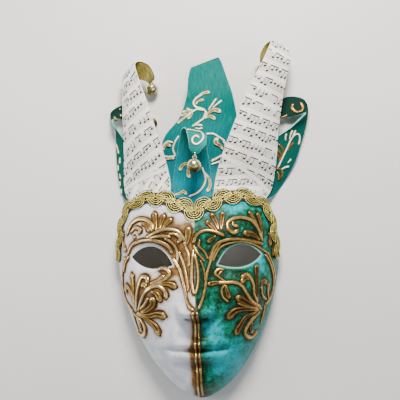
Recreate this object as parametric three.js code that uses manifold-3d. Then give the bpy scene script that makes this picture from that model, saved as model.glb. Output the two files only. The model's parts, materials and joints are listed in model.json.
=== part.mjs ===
// A carnival mask of papier-mache, lying on its back on the flat-cut edge of its shell.
// Millimetres. The face looks along +Z, its crown lies along +Y, and +X is at a viewer's right.
// The rim of the shell lies in the plane z = 0.
import * as THREE from 'three';
import { mergeVertices } from 'three/addons/utils/BufferGeometryUtils.js';
import Module from 'manifold-3d';

const wasm = await Module();
wasm.setup();

// Driving dimensions of the face
const FACE_HALF_WIDTH = 80;
const CHIN_DOWN = 143;
const CROWN_UP = 92;
const FACE_DEPTH = 62;
const WALL = 2.6;
const NOSE_RISE = 24;
const NOSTRIL_RADIUS = 3.4;
const NOSTRIL_LENGTH = 20;
const NOSTRIL_TILT = -20;

// Driving dimensions of the trimmings
const CARD = 1.3;
const GLUE_GAP = 0.9;
const CLEAR = 0.35;
const BRAID_HALF_WIDTH = 7.4;
const BRAID_SCALLOP = 1.3;
const BRAID_THICK = 2.2;
const BRAID_GAP = 0.9;
const BRAID_FALL = 2.6;
const BRAID_SCALLOPS = 25;
const EDGE_OVER_BRAID = 5;
const ROW_STEP = 6.6;
const CROWN_ROW_STEP = 13;
const BEAD_STEP = 18;
const STRIP_STEPS = 14;
const BEAD_SINK = 1.8;
const STEM_FULL = 1.12;
const LEAF_FULL = 1.2;
const BELL_RADIUS = 6.5;
const BELL_WALL = 0.8;
const RING_RADIUS = 2.6;
const RING_WIRE = 0.45;
const LOOP_RADIUS = 1.7;
const LOOP_WIRE = 0.5;
const LOOP_WELD = 0.35;
const SLOT_WIDTH = 1.3;
const HOLE_RADIUS = 1.1;
const HOLE_FROM_TIP = 1.9;

// Colours of the pieces
const stucco = new THREE.MeshStandardMaterial({ color: '#9fb3b6', roughness: 0.5, metalness: 0.1 });
const braidGold = new THREE.MeshStandardMaterial({ color: '#8d8430', roughness: 0.5, metalness: 0.5 });
const music = new THREE.MeshStandardMaterial({ color: '#e0dcd2', roughness: 0.7, metalness: 0 });
const teal = new THREE.MeshStandardMaterial({ color: '#12a39a', roughness: 0.5, metalness: 0 });
const brass = new THREE.MeshStandardMaterial({ color: '#d8cf8a', roughness: 0.3, metalness: 1 });

// The form of the face

const smooth = (t) => {
  const s = THREE.MathUtils.clamp(t, 0, 1);
  return s * s * (3 - 2 * s);
};

const hill = (x, y, sx, sy) => Math.exp(-((x / sx) ** 2) - (y / sy) ** 2);

// Half the width of the face at height y, and its depth on the midline, both taken in by inset
function halfWidth(y, inset = 0) {
  const reach = (y < 0 ? CHIN_DOWN : CROWN_UP) - inset;
  const t = Math.min(Math.abs(y) / reach, 1);
  const share = y < 0 ? (1 - t ** 1.7) ** 0.6 : (1 - t ** 3) ** 0.5;
  return (FACE_HALF_WIDTH - inset) * share;
}

function depth(y, inset = 0) {
  const reach = (y < 0 ? CHIN_DOWN : CROWN_UP) - inset;
  const t = Math.min(Math.abs(y) / reach, 1);
  return (FACE_DEPTH - inset) * Math.sqrt(1 - t ** 2.4);
}

// A straight nose whose ridge widens and rises down to its tip, with a wing at each side
function nose(x, y, slim) {
  const t = THREE.MathUtils.clamp((12 - y) / 62, 0, 1);
  const rise = NOSE_RISE * (0.12 + 0.88 * t ** 1.35) * smooth((16 - y) / 16) * (1 - smooth((-50 - y) / 12));
  const wing = (side) => 8.5 * hill(x - side * 12.5, y + 50, 6.2 - slim, 6.5 - slim);
  const ridge = Math.exp(-(Math.abs(x / (6.4 + 4.4 * t - slim)) ** 2.5));
  return rise * ridge + wing(-1) + wing(1);
}

// Each swelling or hollow of the face: its place, its spread and its rise; all but those at x = 0 are twins
const SWELLINGS = [
  { name: 'eye socket', x: 40, y: 2, sx: 24, sy: 15, rise: -7 },
  { name: 'brow', x: 36, y: 22, sx: 26, sy: 9, rise: 3.5 },
  { name: 'cheek', x: 44, y: -34, sx: 20, sy: 17, rise: 5 },
  { name: 'muzzle', x: 0, y: -86, sx: 30, sy: 22, rise: 5 },
  { name: 'upper lip', x: 0, y: -82, sx: 18, sy: 3.8, rise: 2.2 },
  { name: 'bow of the lip', x: 6, y: -80.5, sx: 8.5, sy: 3.6, rise: 2.8 },
  { name: 'lower lip', x: 0, y: -94.5, sx: 13.5, sy: 4.8, rise: 5.4 },
  { name: 'line of the mouth', x: 0, y: -87.5, sx: 20, sy: 1.7, rise: -4 },
  { name: 'corner of the mouth', x: 22, y: -88, sx: 6, sy: 3.2, rise: -3 },
  { name: 'hollow under the lip', x: 0, y: -104.5, sx: 16, sy: 4.4, rise: -3.6 },
  { name: 'chin', x: 0, y: -124, sx: 17, sy: 11, rise: 6 },
  { name: 'groove above the lip', x: 0, y: -71, sx: 3.4, sy: 7.5, rise: -1.8 },
];

// On the inside of the wall a hollow is wider and a swelling narrower than outside, by about slim
function features(x, y, slim) {
  let rise = nose(x, y, slim);
  for (const one of SWELLINGS) {
    const [sx, sy] = [one.sx, one.sy].map((s) => (one.rise < 0 ? s + 1.5 * slim : Math.max(s - slim, 0.5 * s)));
    rise += one.rise * hill(x - one.x, y - one.y, sx, sy);
    if (one.x > 0) rise += one.rise * hill(x + one.x, y - one.y, sx, sy);
  }
  return rise;
}

// Height of the face at (x, y); with an inset it is the inside of the shell
function height(x, y, inset = 0) {
  const across = Math.min(Math.abs(x) / Math.max(halfWidth(y, inset), 1e-6), 1);
  const middle = depth(y, inset);
  const dome = middle * Math.sqrt(1 - across ** 2.4);
  const fade = smooth((1 - across) / 0.35) * smooth(middle / 25);
  return dome + features(x, y, inset * 0.8) * fade;
}

const onFace = (x, y) => new THREE.Vector3(x, y, height(x, y));

function surfaceNormal(x, y, inset) {
  const step = 0.5;
  const dx = (height(x + step, y, inset) - height(x - step, y, inset)) / (2 * step);
  const dy = (height(x, y + step, inset) - height(x, y - step, inset)) / (2 * step);
  return new THREE.Vector3(-dx, -dy, 1).normalize();
}

const faceNormal = (x, y) => surfaceNormal(x, y, 0);

// Solids

function closedGeometry(positions, triangles) {
  const geometry = new THREE.BufferGeometry();
  geometry.setAttribute('position', new THREE.Float32BufferAttribute(positions, 3));
  geometry.setIndex(triangles);
  return geometry;
}

function toSolid(geometry) {
  const bare = geometry.clone();
  bare.deleteAttribute('normal');
  bare.deleteAttribute('uv');
  const merged = mergeVertices(bare, 1e-4);
  return new wasm.Manifold(
    new wasm.Mesh({
      numProp: 3,
      vertProperties: new Float32Array(merged.attributes.position.array),
      triVerts: new Uint32Array(merged.index.array),
    }),
  );
}

function toGeometry(solid) {
  const mesh = solid.getMesh();
  return closedGeometry(Array.from(mesh.vertProperties), Array.from(mesh.triVerts));
}

// A closed skin around rings of points that all have the same count, with a flat cap on each end
function skin(rings) {
  const count = rings[0].length;
  const positions = rings.flat().flatMap((p) => [p.x, p.y, p.z]);
  const triangles = [];
  for (let i = 0; i + 1 < rings.length; i++) {
    for (let k = 0; k < count; k++) {
      const a = i * count + k;
      const b = i * count + ((k + 1) % count);
      triangles.push(a, b, b + count, a, b + count, a + count);
    }
  }
  const last = (rings.length - 1) * count;
  for (let k = 1; k + 1 < count; k++) {
    triangles.push(0, k + 1, k, last, last + k, last + k + 1);
  }
  return closedGeometry(positions, triangles);
}

// The shell of the face

// Heights of the rows, close together where the features are
function rowHeights(coarse) {
  const rows = [];
  let y = -CHIN_DOWN;
  while (y < CROWN_UP - CROWN_ROW_STEP / 3) {
    rows.push(y);
    y += y < 20 ? coarse * ROW_STEP : CROWN_ROW_STEP;
  }
  rows.push(CROWN_UP);
  return rows;
}

// Shares of the half width at which the columns stand, close together on the nose and towards the rim
const OUTER_COLUMNS = [0, 0.06, 0.12, 0.2, 0.32, 0.46, 0.6, 0.75, 0.9, 1];
const INNER_COLUMNS = [0, 0.09, 0.2, 0.36, 0.54, 0.71, 0.85, 0.94, 1];

// How much farther apart the rows of the inside are
const INNER_COARSE = 1.8;

// The filled form under the face, down to the rim; a drop carries it on below the rim
function pillow(inset, shares, coarse, drop) {
  const columns = [...shares.slice(1).map((share) => -share).reverse(), ...shares];
  const rings = rowHeights(coarse).map((row) => {
    const y = THREE.MathUtils.clamp(row, -CHIN_DOWN + inset, CROWN_UP - inset);
    const half = halfWidth(y, inset);
    const ring = columns.map((share) => {
      const x = half * share;
      return new THREE.Vector3(x, y, Math.abs(share) === 1 ? 0 : height(x, y, inset));
    });
    ring.push(new THREE.Vector3(half, y, -drop), new THREE.Vector3(-half, y, -drop));
    return ring;
  });
  return toSolid(skin(rings));
}

// Half of the line along which the braid is laid, from the middle of the forehead to the temple
const BRAID_HALF = [[0, 43], [13, 49], [30, 55.5], [46, 56], [60, 50.5], [69, 41], [73, 26], [75.5, 9], [78, -8]];

function braidLine() {
  const right = BRAID_HALF.map(([x, y]) => new THREE.Vector3(x, y, 0));
  const left = right.slice(1).map((p) => new THREE.Vector3(-p.x, p.y, 0));
  return new THREE.CatmullRomCurve3([...left.reverse(), ...right]);
}

// Everything above the cut top edge, which runs a little outside the middle of the braid
function aboveTheEdge(over) {
  const line = braidLine();
  const steps = 30;
  const shape = new THREE.Shape();
  for (let i = 0; i <= steps; i++) {
    const p = line.getPointAt(i / steps);
    const t = line.getTangentAt(i / steps);
    const x = p.x - t.y * over;
    const y = p.y + t.x * over;
    if (i === 0) shape.moveTo(x - 20, y);
    shape.lineTo(x, y);
  }
  shape.lineTo(110, -8);
  shape.lineTo(110, 140);
  shape.lineTo(-110, 140);
  const geometry = new THREE.ExtrudeGeometry(shape, { depth: 140, bevelEnabled: false });
  return toSolid(geometry.translate(0, 0, -20));
}

// An almond eye hole: inner corner, crest, outer corner and lowest point
const EYE_INNER = [21, -7];
const EYE_OUTER = [62, 0.5];
const EYE_TOP = 11;
const EYE_LOW = -10.5;

function eyeHole(side) {
  const shape = new THREE.Shape();
  const [ix, iy] = EYE_INNER;
  const [ox, oy] = EYE_OUTER;
  shape.moveTo(side * ix, iy);
  shape.bezierCurveTo(side * 26, 4, side * 33, EYE_TOP, side * 42, EYE_TOP);
  shape.bezierCurveTo(side * 50, EYE_TOP, side * 57, 7, side * ox, oy);
  shape.bezierCurveTo(side * 57, -6, side * 50, EYE_LOW + 0.5, side * 41, EYE_LOW);
  shape.bezierCurveTo(side * 33, EYE_LOW, side * 26, -9, side * ix, iy);
  const geometry = new THREE.ExtrudeGeometry(shape, { depth: 120, bevelEnabled: false, curveSegments: 4 });
  return toSolid(geometry);
}

function nostril(side) {
  const hole = new THREE.CylinderGeometry(NOSTRIL_RADIUS, NOSTRIL_RADIUS, NOSTRIL_LENGTH, 6);
  hole.translate(0, -NOSTRIL_LENGTH / 4, 0);
  hole.scale(1, 1, 0.75);
  hole.rotateX(THREE.MathUtils.degToRad(NOSTRIL_TILT));
  hole.translate(side * 8, -56, 66);
  return toSolid(hole);
}

// A piped bead of stucco on a surface: a ridge that follows points, its half width going from one size to another
function bead(points, from, to, sink, place, normalAt) {
  const flat = new THREE.CatmullRomCurve3(points.map(([x, y]) => new THREE.Vector3(x, y, 0)));
  const length = flat.getLength();
  const steps = THREE.MathUtils.clamp(Math.round(length / BEAD_STEP), 1, 7);
  const wide = Math.max(from, to);
  const stops = [0];
  for (let i = 0; i <= steps; i++) {
    stops.push(THREE.MathUtils.lerp(0.7 * wide, length - 0.7 * wide, i / steps) / length);
  }
  stops.push(1);
  const rings = stops.map((s, i) => {
    const end = i === 0 || i === stops.length - 1;
    const here = flat.getPointAt(s);
    const along = flat.getTangentAt(s);
    const up = normalAt(here.x, here.y);
    const side = new THREE.Vector3().crossVectors(up, along).normalize();
    const half = (from + (to - from) * s ** 1.3) * (end ? 0.5 : 1);
    const crest = Math.min(0.5 + 0.75 * half, 2.6) * (end ? 0.6 : 1);
    const at = place(here.x, here.y);
    const corner = (a, b) => at.clone().addScaledVector(side, a).addScaledVector(up, b);
    return [corner(1.25 * half, -sink), corner(0, crest), corner(-1.25 * half, -sink)];
  });
  return toSolid(skin(rings));
}

const faceBead = ([from, to, ...points]) =>
  bead(points, STEM_FULL * from, LEAF_FULL * to, BEAD_SINK, onFace, faceNormal);

// Each ornament is half widths at its start and end, then the points it passes, on the face as a viewer sees it
const RIGHT_CHEEK = [
  [1.8, 2.4, [59, -48], [51, -42], [42, -27], [28, -24], [12, -25]],
  [1.4, 1.7, [34, -23], [21, -18], [18, -14], [26, -12]],
  [1.7, 3.4, [60, -51], [46, -43], [37, -38]],
  [1.5, 3.2, [57, -53], [48, -51], [30, -58]],
  [1.5, 3.0, [55, -54], [45, -60], [35, -74]],
  [1.7, 2.2, [58, -54], [50, -63], [44, -74], [51, -79], [56, -73]],
  [1.7, 1.9, [56, -45], [53, -26], [48, -17], [43, -24]],
  [2.4, 0.9, [57, -43], [57, -11]],
];
const LEFT_CHEEK = [
  [1.3, 2.2, [-61, -46], [-62, -15]],
  [1.6, 1.8, [-59, -51], [-56, -34], [-51, -19], [-45, -23]],
  [1.7, 2.5, [-56, -51], [-49, -36], [-35, -27], [-28, -34], [-32, -40]],
  [1.4, 3.2, [-58, -53], [-31, -54]],
  [2.3, 1.2, [-59, -54], [-48, -59], [-37, -71]],
  [1.7, 1.9, [-63, -54], [-51, -65], [-54, -76], [-61, -75]],
  [1.6, 1.7, [-46, -30], [-29, -20], [-24, -13], [-33, -10]],
  [1.7, 3.0, [-35, -25], [-20, -26]],
];
const RIGHT_BROW = [
  [1.2, 2.6, [22, 24], [12, 33]],
  [1.2, 2.6, [23, 27], [17.5, 39]],
  [1.2, 2.6, [25, 26], [27, 40]],
  [1.7, 1.9, [62, 14], [55, 31], [44, 36], [33, 33], [32, 25], [40, 26]],
  [1.5, 3.4, [62, 16], [56, 39]],
  [1.3, 2.8, [61, 15], [45, 22]],
  [1.4, 1.5, [13, -3], [20, 11], [38, 16.5], [51, 15], [64, 9], [70, 1]],
  [1.7, 1.8, [-1, 13], [2, 21], [12, 25], [28, 20]],
];
const LEFT_BROW = [
  [1.7, 1.8, [-66, 25], [-58, 35], [-48, 37], [-40, 30]],
  [1.1, 2.5, [-36, 28], [-37, 42]],
  [1.1, 2.5, [-33, 30], [-29, 40]],
  [1.1, 2.5, [-30, 28], [-22, 36]],
  [1.5, 2.1, [-45, 20], [-33, 25], [-18, 26], [-8, 15]],
  [1.4, 1.5, [-66, 2], [-60, 12], [-42, 17], [-27, 13], [-20, 2]],
];
const NOSE_PIPING = [
  [1.4, 1.4, [-21, -1], [-11, -20], [-1, -46]],
  [1.4, 1.4, [24, 14], [17, 3], [10, -20], [4, -44]],
  [2.4, 1.4, [1, 6], [0, -31]],
  [2.2, 2.2, [0, -49], [0, -58]],
  [2.2, 2.2, [0, -57], [0, -62]],
  [2.2, 2.2, [0, -61], [0, -77]],
  [2.2, 2.2, [0, -96], [0, -106]],
  [2.2, 2.2, [0, -105], [0, -120]],
  [2.2, 2.2, [0, -119], [0, -137]],
];
const EDGE_PIPING = [
  [1.4, 1.4, [71, -13], [72, -30], [64, -46]],
  [1.4, 1.4, [-67, 1], [-72, -12], [-73, -32], [-64, -50]],
];

const ORNAMENTS = [RIGHT_CHEEK, LEFT_CHEEK, RIGHT_BROW, LEFT_BROW, NOSE_PIPING, EDGE_PIPING].flat();

function maskShell() {
  let shell = pillow(0, OUTER_COLUMNS, 1, 0);
  for (const one of ORNAMENTS) shell = shell.add(faceBead(one));
  shell = shell.subtract(pillow(WALL, INNER_COLUMNS, INNER_COARSE, 5)).subtract(aboveTheEdge(EDGE_OVER_BRAID));
  for (const side of [-1, 1]) shell = shell.subtract(eyeHole(side)).subtract(nostril(side));
  return shell;
}

// The room that the shell takes up, a little larger than the shell itself
function shellRoom() {
  let room = pillow(-CLEAR, OUTER_COLUMNS, 1, 1);
  for (const [from, to, ...points] of ORNAMENTS) room = room.add(faceBead([from + CLEAR, to + CLEAR, ...points]));
  room = room.subtract(pillow(WALL + CLEAR, INNER_COLUMNS, INNER_COARSE, 5));
  return room.subtract(aboveTheEdge(EDGE_OVER_BRAID + CLEAR));
}

// Places of the braid across its run, from inner to outer edge, lifted off the surface. Distances across are
// measured along the surface, and it never falls more steeply than BRAID_FALL.
function braidUnderside(here, out, inner, outer) {
  const walk = (reach) => {
    const steps = 8;
    const step = reach / steps;
    const places = [onFace(here.x, here.y)];
    for (let k = 0; k < steps; k++) {
      const { x, y, z } = places[k];
      const slope = (height(x + out.x, y + out.y) - height(x - out.x, y - out.y)) / 2;
      const flat = step / Math.hypot(1, Math.max(slope, -BRAID_FALL));
      const next = onFace(x + out.x * flat, y + out.y * flat);
      next.z = Math.max(next.z, z - BRAID_FALL * Math.abs(flat));
      places.push(next);
    }
    return places;
  };
  const places = [...walk(inner).slice(1).reverse(), ...walk(outer)];
  return (share, lift) => {
    const last = places.length - 1;
    const k = Math.round(share * last);
    const [before, after] = [places[Math.max(k - 1, 0)], places[Math.min(k + 1, last)]];
    const flat = Math.hypot(after.x - before.x, after.y - before.y);
    const fall = after.z - before.z;
    const up = new THREE.Vector3(-out.x * fall, -out.y * fall, flat).normalize();
    return places[k].clone().addScaledVector(up, lift);
  };
}

// The braid: a flat gimp whose two edges swell outwards by turns, bent along the forehead and temples
function gimpBraid(grow) {
  const line = braidLine();
  const steps = BRAID_SCALLOPS * 2;
  const start = 0.012;
  const rings = [];
  for (let i = 0; i <= steps; i++) {
    const s = THREE.MathUtils.lerp(start, 1 - start, i / steps);
    const here = line.getPointAt(s);
    const along = line.getTangentAt(s);
    const out = new THREE.Vector3(-along.y, along.x, 0);
    const wave = -Math.sin((i / steps) * BRAID_SCALLOPS * Math.PI);
    const outer = BRAID_HALF_WIDTH + BRAID_SCALLOP * wave + grow;
    const inner = -BRAID_HALF_WIDTH + BRAID_SCALLOP * wave - grow;
    const point = braidUnderside(here, out, inner, outer);
    const foot = BRAID_GAP - grow;
    const top = BRAID_GAP + BRAID_THICK + grow;
    rings.push([
      point(0, foot),
      point(0.125, top),
      point(0.5, top),
      point(0.875, top),
      point(1, foot),
      point(0.5, foot),
    ]);
  }
  return toSolid(skin(rings.map((ring) => ring.reverse())));
}

// The points of the crown

// A strip of card, given by rows across it from its glued foot to its tip. A seated row follows the inside of
// the shell at a depth below it; a free row has its two edges and a bow that bulges it outwards.
const ACROSS = 4;

function rowPoints(row, next, before, below, across) {
  const points = [];
  for (let k = 0; k <= across; k++) {
    const u = k / across;
    if (row.seat) {
      const [xl, yl, xr, yr] = row.seat;
      const x = THREE.MathUtils.lerp(xl, xr, u);
      const y = THREE.MathUtils.lerp(yl, yr, u);
      const inside = new THREE.Vector3(x, y, height(x, y, WALL));
      points.push(inside.addScaledVector(surfaceNormal(x, y, WALL), -below));
    } else {
      const left = new THREE.Vector3(...row.left);
      const right = new THREE.Vector3(...row.right);
      const middle = (r) => new THREE.Vector3(...r.left).lerp(new THREE.Vector3(...r.right), 0.5);
      const along = before.left ? middle(next).sub(middle(before)) : new THREE.Vector3(0, 1, -0.3);
      const out = right.clone().sub(left).cross(along).normalize();
      points.push(left.lerp(right, u).addScaledVector(out, row.bow * 4 * u * (1 - u)));
    }
  }
  return points;
}

// The middle surface of a strip, as a grid of points with the outward normal at each
function stripGrid(rows, below, steps, across) {
  const laid = rows.map((row, i) => {
    const before = rows[Math.max(i - 1, 0)];
    const next = rows[Math.min(i + 1, rows.length - 1)];
    return rowPoints(row, next, before, below, across);
  });
  const columns = [];
  for (let k = 0; k <= across; k++) {
    columns.push(new THREE.CatmullRomCurve3(laid.map((points) => points[k]), false, 'centripetal'));
  }
  const grid = [];
  for (let i = 0; i <= steps; i++) grid.push(columns.map((column) => column.getPoint(i / steps)));
  const normals = grid.map((line, i) =>
    line.map((_, k) => {
      const ahead = grid[Math.min(i + 1, steps)][k].clone().sub(grid[Math.max(i - 1, 0)][k]);
      const aside = line[Math.min(k + 1, across)].clone().sub(line[Math.max(k - 1, 0)]);
      return aside.cross(ahead).normalize();
    }),
  );
  return { grid, normals };
}

function stripSolid({ grid, normals }, thick) {
  const rings = grid.map((line, i) => {
    const front = line.map((p, k) => p.clone().addScaledVector(normals[i][k], thick / 2));
    const back = line.map((p, k) => p.clone().addScaledVector(normals[i][k], -thick / 2));
    return [...front, ...back.reverse()];
  });
  return toSolid(skin(rings));
}

const free = (left, right, bow) => ({ left, right, bow });
const seat = (...places) => ({ seat: places });

const STRIPS = {
  music_point_left: {
    material: music,
    layer: 1,
    rows: [
      seat(-66, 38, -23.5, 42),
      seat(-67, 50, -23.5, 58),
      free([-71, 67, 9], [-23.5, 73, 37], 5),
      free([-70, 100, 14], [-30, 103, 39], 5),
      free([-70, 130, 17], [-38, 130, 39], 4),
      free([-70, 149, 17], [-44, 150, 37], 3),
      free([-70, 163, 17], [-49, 164, 35], 2),
      free([-70, 173, 16], [-53, 176, 33], 1),
      free([-69, 178, 14], [-55.5, 188, 30], 0.5),
      free([-61, 176, 15.5], [-51, 191, 24], 0),
      free([-52.5, 173.5, 20], [-42.5, 187, 23.5], 0),
      free([-46, 171.5, 22.5], [-38.5, 180, 23], 0),
      free([-43.5, 169.5, 21], [-37.5, 175.5, 21.5], 0),
      free([-43, 169, 18.4], [-38.5, 173, 18.4], 0),
    ],
  },
  music_point_right: {
    material: music,
    layer: 1,
    rows: [
      seat(19, 42, 66, 38),
      seat(19, 57, 67, 50),
      free([20, 71, 39], [74, 63, 8], 5),
      free([27, 95, 41], [79, 90, 14], 5),
      free([38, 122, 43], [82, 121, 19], 5),
      free([53, 157, 40], [87, 152, 21], 3),
      free([65, 179, 36], [93, 178, 23], 2),
      free([73, 195, 33], [95, 189, 22], 1),
      free([77, 206, 26], [92, 200, 16], 0),
      free([71, 203, 20], [86, 193, 13], 0),
      free([66.5, 194.5, 23], [77, 187, 20], 0),
      free([66, 189, 22], [73, 185, 21], 0),
      free([66.5, 186.5, 18.6], [71.5, 184.5, 18.6], 0),
    ],
  },
  teal_point_centre_front: {
    material: teal,
    layer: 1,
    rows: [
      seat(-20, 36, 15, 36),
      seat(-20, 56, 15, 56),
      free([-20, 70, 44], [16, 70, 44], 2),
      free([-17, 88, 47], [15, 88, 47], 2),
      free([-12, 109, 54], [13, 106, 54], 1.5),
      free([-9, 120, 62], [13, 114, 62], 1),
      free([-5, 120, 71], [14, 113, 72], 1),
      free([-2, 109, 78], [13, 104, 78], 0.5),
      free([-1, 101, 78], [9, 99, 78], 0),
      free([1, 97, 77], [6, 96, 77], 0),
    ],
  },
  teal_point_side_left: {
    material: teal,
    layer: 2,
    rows: [
      seat(-64, 34, -55, 38),
      seat(-64, 49, -54, 56),
      free([-74, 60, 2.5], [-60, 67, 6.5], 1),
      free([-78, 82, 3.5], [-62, 86, 11], 1.5),
      free([-79, 105, 4], [-65, 104, 12], 1),
      free([-79.5, 126, 5], [-73, 120, 13], 0),
      free([-83.3, 136.5, 6], [-81, 133, 16], 0),
      free([-83.4, 143, 5.5], [-79.5, 136, 13], 0),
      free([-73, 149.7, 5.5], [-72, 136, 9], 0),
      free([-60, 148.5, 6.5], [-60, 136, 8], 0),
      free([-54.5, 144, 7], [-54.5, 134.5, 8], 0),
      free([-52, 140, 8], [-52.5, 135, 8], 0),
    ],
  },
  teal_point_side_right: {
    material: teal,
    layer: 2,
    rows: [
      seat(54, 38, 64, 32),
      seat(54, 56, 64, 49),
      free([60, 67, 6.5], [78, 58, 2.5], 1),
      free([71, 92, 10], [97, 87, 4], 1.5),
      free([80, 112, 12], [105, 109, 5], 1),
      free([95, 123, 15], [111, 131, 6], 0),
      free([109, 136, 16], [112, 141, 6], 0),
      free([105, 135, 12], [108.5, 150, 5.5], 0),
      free([95, 133, 9], [97, 153.5, 5.5], 0),
      free([87, 134, 8], [86, 151, 6.5], 0),
      free([81, 136, 8], [80, 145, 7], 0),
    ],
  },
  teal_point_centre_back: {
    material: teal,
    layer: 2,
    rows: [
      seat(-36, 46, 38, 46),
      seat(-36, 57, 38, 57),
      free([-36, 76, 22], [42, 75, 21], 8),
      free([-29, 114, 29], [45, 114, 27], 6),
      free([-13, 134, 30], [42, 134, 28], 4),
      free([-5, 157, 30], [38, 156, 29], 3),
      free([-4, 172, 26], [33, 172, 26], 2),
      free([-2, 181, 21], [28, 188, 21], 1),
      free([-0.5, 184, 14], [25, 193, 14], 0),
      free([5, 182, 8], [22, 188, 8.5], 0),
      free([10, 176, 7.5], [18, 178, 7.5], 0),
      free([12, 171, 8], [17, 172, 8], 0),
    ],
  },
};

// Beads of stucco on the teal strips, drawn in the front view, each on the strip's outer face
const STRIP_ORNAMENTS = {
  teal_point_centre_back: [
    [1.3, 1.8, [2, 121], [8, 128], [12, 137], [3, 141], [1, 146], [5, 153], [16, 157]],
    [1.1, 2.0, [10, 131], [18, 143], [25, 152]],
    [1.1, 2.0, [6, 127], [17, 136], [28, 139]],
    [1.1, 2.2, [8, 137], [-3, 137], [-14, 131]],
    [1.4, 1.8, [-15, 116], [-20, 106], [-30, 104]],
    [1.2, 1.8, [-20, 107], [-20, 98], [-29, 94]],
    [1.4, 1.9, [13, 117], [25, 113], [31, 103], [27, 94], [16, 90]],
  ],
  teal_point_centre_front: [
    [1.3, 1.8, [8, 86], [11, 76], [7, 64], [-4, 56]],
    [1.1, 2.0, [-13, 83], [-2, 87]],
    [1.1, 1.8, [-7, 102], [-13, 95]],
  ],
  teal_point_side_right: [
    [1.3, 1.6, [98, 120], [93, 108], [87, 97], [81, 87]],
    [1.1, 2.0, [95, 107], [102, 116]],
    [1.1, 1.9, [78, 98], [86, 103]],
    [1.1, 1.9, [84, 88], [93, 91]],
    [1.1, 2.0, [83, 82], [82, 73]],
  ],
};

// Where a strip is nearest to a place in the front view, on the run before it curls over
function stripPlace({ grid, normals }, x, y) {
  let best = { gap: Infinity };
  for (let i = 0; i < grid.length * 0.62; i++) {
    for (let k = 0; k < grid[i].length; k++) {
      const gap = Math.hypot(grid[i][k].x - x, grid[i][k].y - y);
      if (gap < best.gap) best = { gap, p: grid[i][k], n: normals[i][k] };
    }
  }
  const drop = (best.n.x * (x - best.p.x) + best.n.y * (y - best.p.y)) / best.n.z;
  return { at: new THREE.Vector3(x, y, best.p.z - drop).addScaledVector(best.n, CARD / 2), up: best.n };
}

// The tip of a strip: where its ring's hole is, which way the bell hangs, and across
function tipFrame({ grid, normals }) {
  const middle = ACROSS / 2;
  const end = grid[grid.length - 1][middle];
  const toward = end.clone().sub(grid[grid.length - 2][middle]).normalize();
  const normal = normals[grid.length - 1][middle];
  const face = normal.clone().addScaledVector(toward, -normal.dot(toward)).normalize();
  const across = new THREE.Vector3().crossVectors(toward, face);
  return { hole: end.clone().addScaledVector(toward, -HOLE_FROM_TIP), toward, face, across };
}

function framed(geometry, origin, x, y, z) {
  const matrix = new THREE.Matrix4().makeBasis(x, y, z).setPosition(origin);
  return geometry.applyMatrix4(matrix);
}

// A jingle bell: a hollow ball with a slot across its lower half and a wire loop on its crown
function bellSolid() {
  const ball = (radius, segments, rings) => toSolid(new THREE.SphereGeometry(radius, segments, rings));
  const slot = new THREE.BoxGeometry(2.2 * BELL_RADIUS, BELL_RADIUS, SLOT_WIDTH);
  slot.translate(0, -0.75 * BELL_RADIUS, 0);
  const loop = new THREE.TorusGeometry(LOOP_RADIUS, LOOP_WIRE, 3, 6);
  loop.translate(0, BELL_RADIUS + LOOP_RADIUS - LOOP_WELD, 0);
  return ball(BELL_RADIUS, 8, 4)
    .add(toSolid(loop))
    .subtract(ball(BELL_RADIUS - 1.9 * BELL_WALL, 5, 3))
    .subtract(toSolid(slot));
}

// Assembly

const mask = new THREE.Group();

function addPiece(name, geometry, material) {
  const flat = geometry.toNonIndexed();
  flat.computeVertexNormals();
  const mesh = new THREE.Mesh(flat, material);
  mesh.name = name;
  mask.add(mesh);
}

addPiece('mask_shell', toGeometry(maskShell()), stucco);
let room = shellRoom();
addPiece('gimp_braid', toGeometry(gimpBraid(0).subtract(room)), braidGold);
room = room.add(gimpBraid(CLEAR));

const bellShape = toGeometry(bellSolid());
for (const [name, strip] of Object.entries(STRIPS)) {
  const below = CARD / 2 + GLUE_GAP + (strip.layer - 1) * (CARD + GLUE_GAP);
  const grid = stripGrid(strip.rows, below, STRIP_STEPS, ACROSS);
  const fine = stripGrid(strip.rows, below, 5 * STRIP_STEPS, 4 * ACROSS);
  let solid = stripSolid(grid, CARD);
  for (const [from, to, ...points] of STRIP_ORNAMENTS[name] ?? []) {
    const place = (x, y) => stripPlace(fine, x, y).at;
    const up = (x, y) => stripPlace(fine, x, y).up;
    solid = solid.add(bead(points, from, to, CARD * 0.9, place, up));
  }
  solid = solid.subtract(room);
  room = room.add(stripSolid(grid, CARD + 2 * CLEAR));
  const tip = tipFrame(grid);
  const bore = new THREE.CylinderGeometry(HOLE_RADIUS, HOLE_RADIUS, 6 * CARD, 6);
  solid = solid.subtract(toSolid(framed(bore, tip.hole, tip.across, tip.face, tip.toward.clone().negate())));
  addPiece(name, toGeometry(solid), strip.material);

  const ring = new THREE.TorusGeometry(RING_RADIUS, RING_WIRE, 3, 8);
  const ringCentre = tip.hole.clone().addScaledVector(tip.toward, RING_RADIUS);
  framed(ring, ringCentre, tip.toward, tip.face, tip.across);
  addPiece(name.replace('point', 'ring'), toGeometry(toSolid(ring)), brass);

  const slack = LOOP_RADIUS - LOOP_WIRE - RING_WIRE - CLEAR;
  const reach = 2 * RING_RADIUS + slack + LOOP_RADIUS + BELL_RADIUS - LOOP_WELD;
  const bellCentre = tip.hole.clone().addScaledVector(tip.toward, reach);
  const [down, back] = [tip.toward.clone().negate(), tip.face.clone().negate()];
  const hung = framed(bellShape.clone(), bellCentre, tip.across, down, back);
  addPiece(name.replace('point', 'bell'), hung, brass);
}

// The origin is the middle of the footprint, on the surface that the mask lies on
const bounds = new THREE.Box3().setFromObject(mask);
const middle = bounds.getCenter(new THREE.Vector3());
mask.position.set(-middle.x, -middle.y, -bounds.min.z);
mask.updateMatrixWorld(true);

export default mask;
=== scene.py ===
import json
import math

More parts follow.
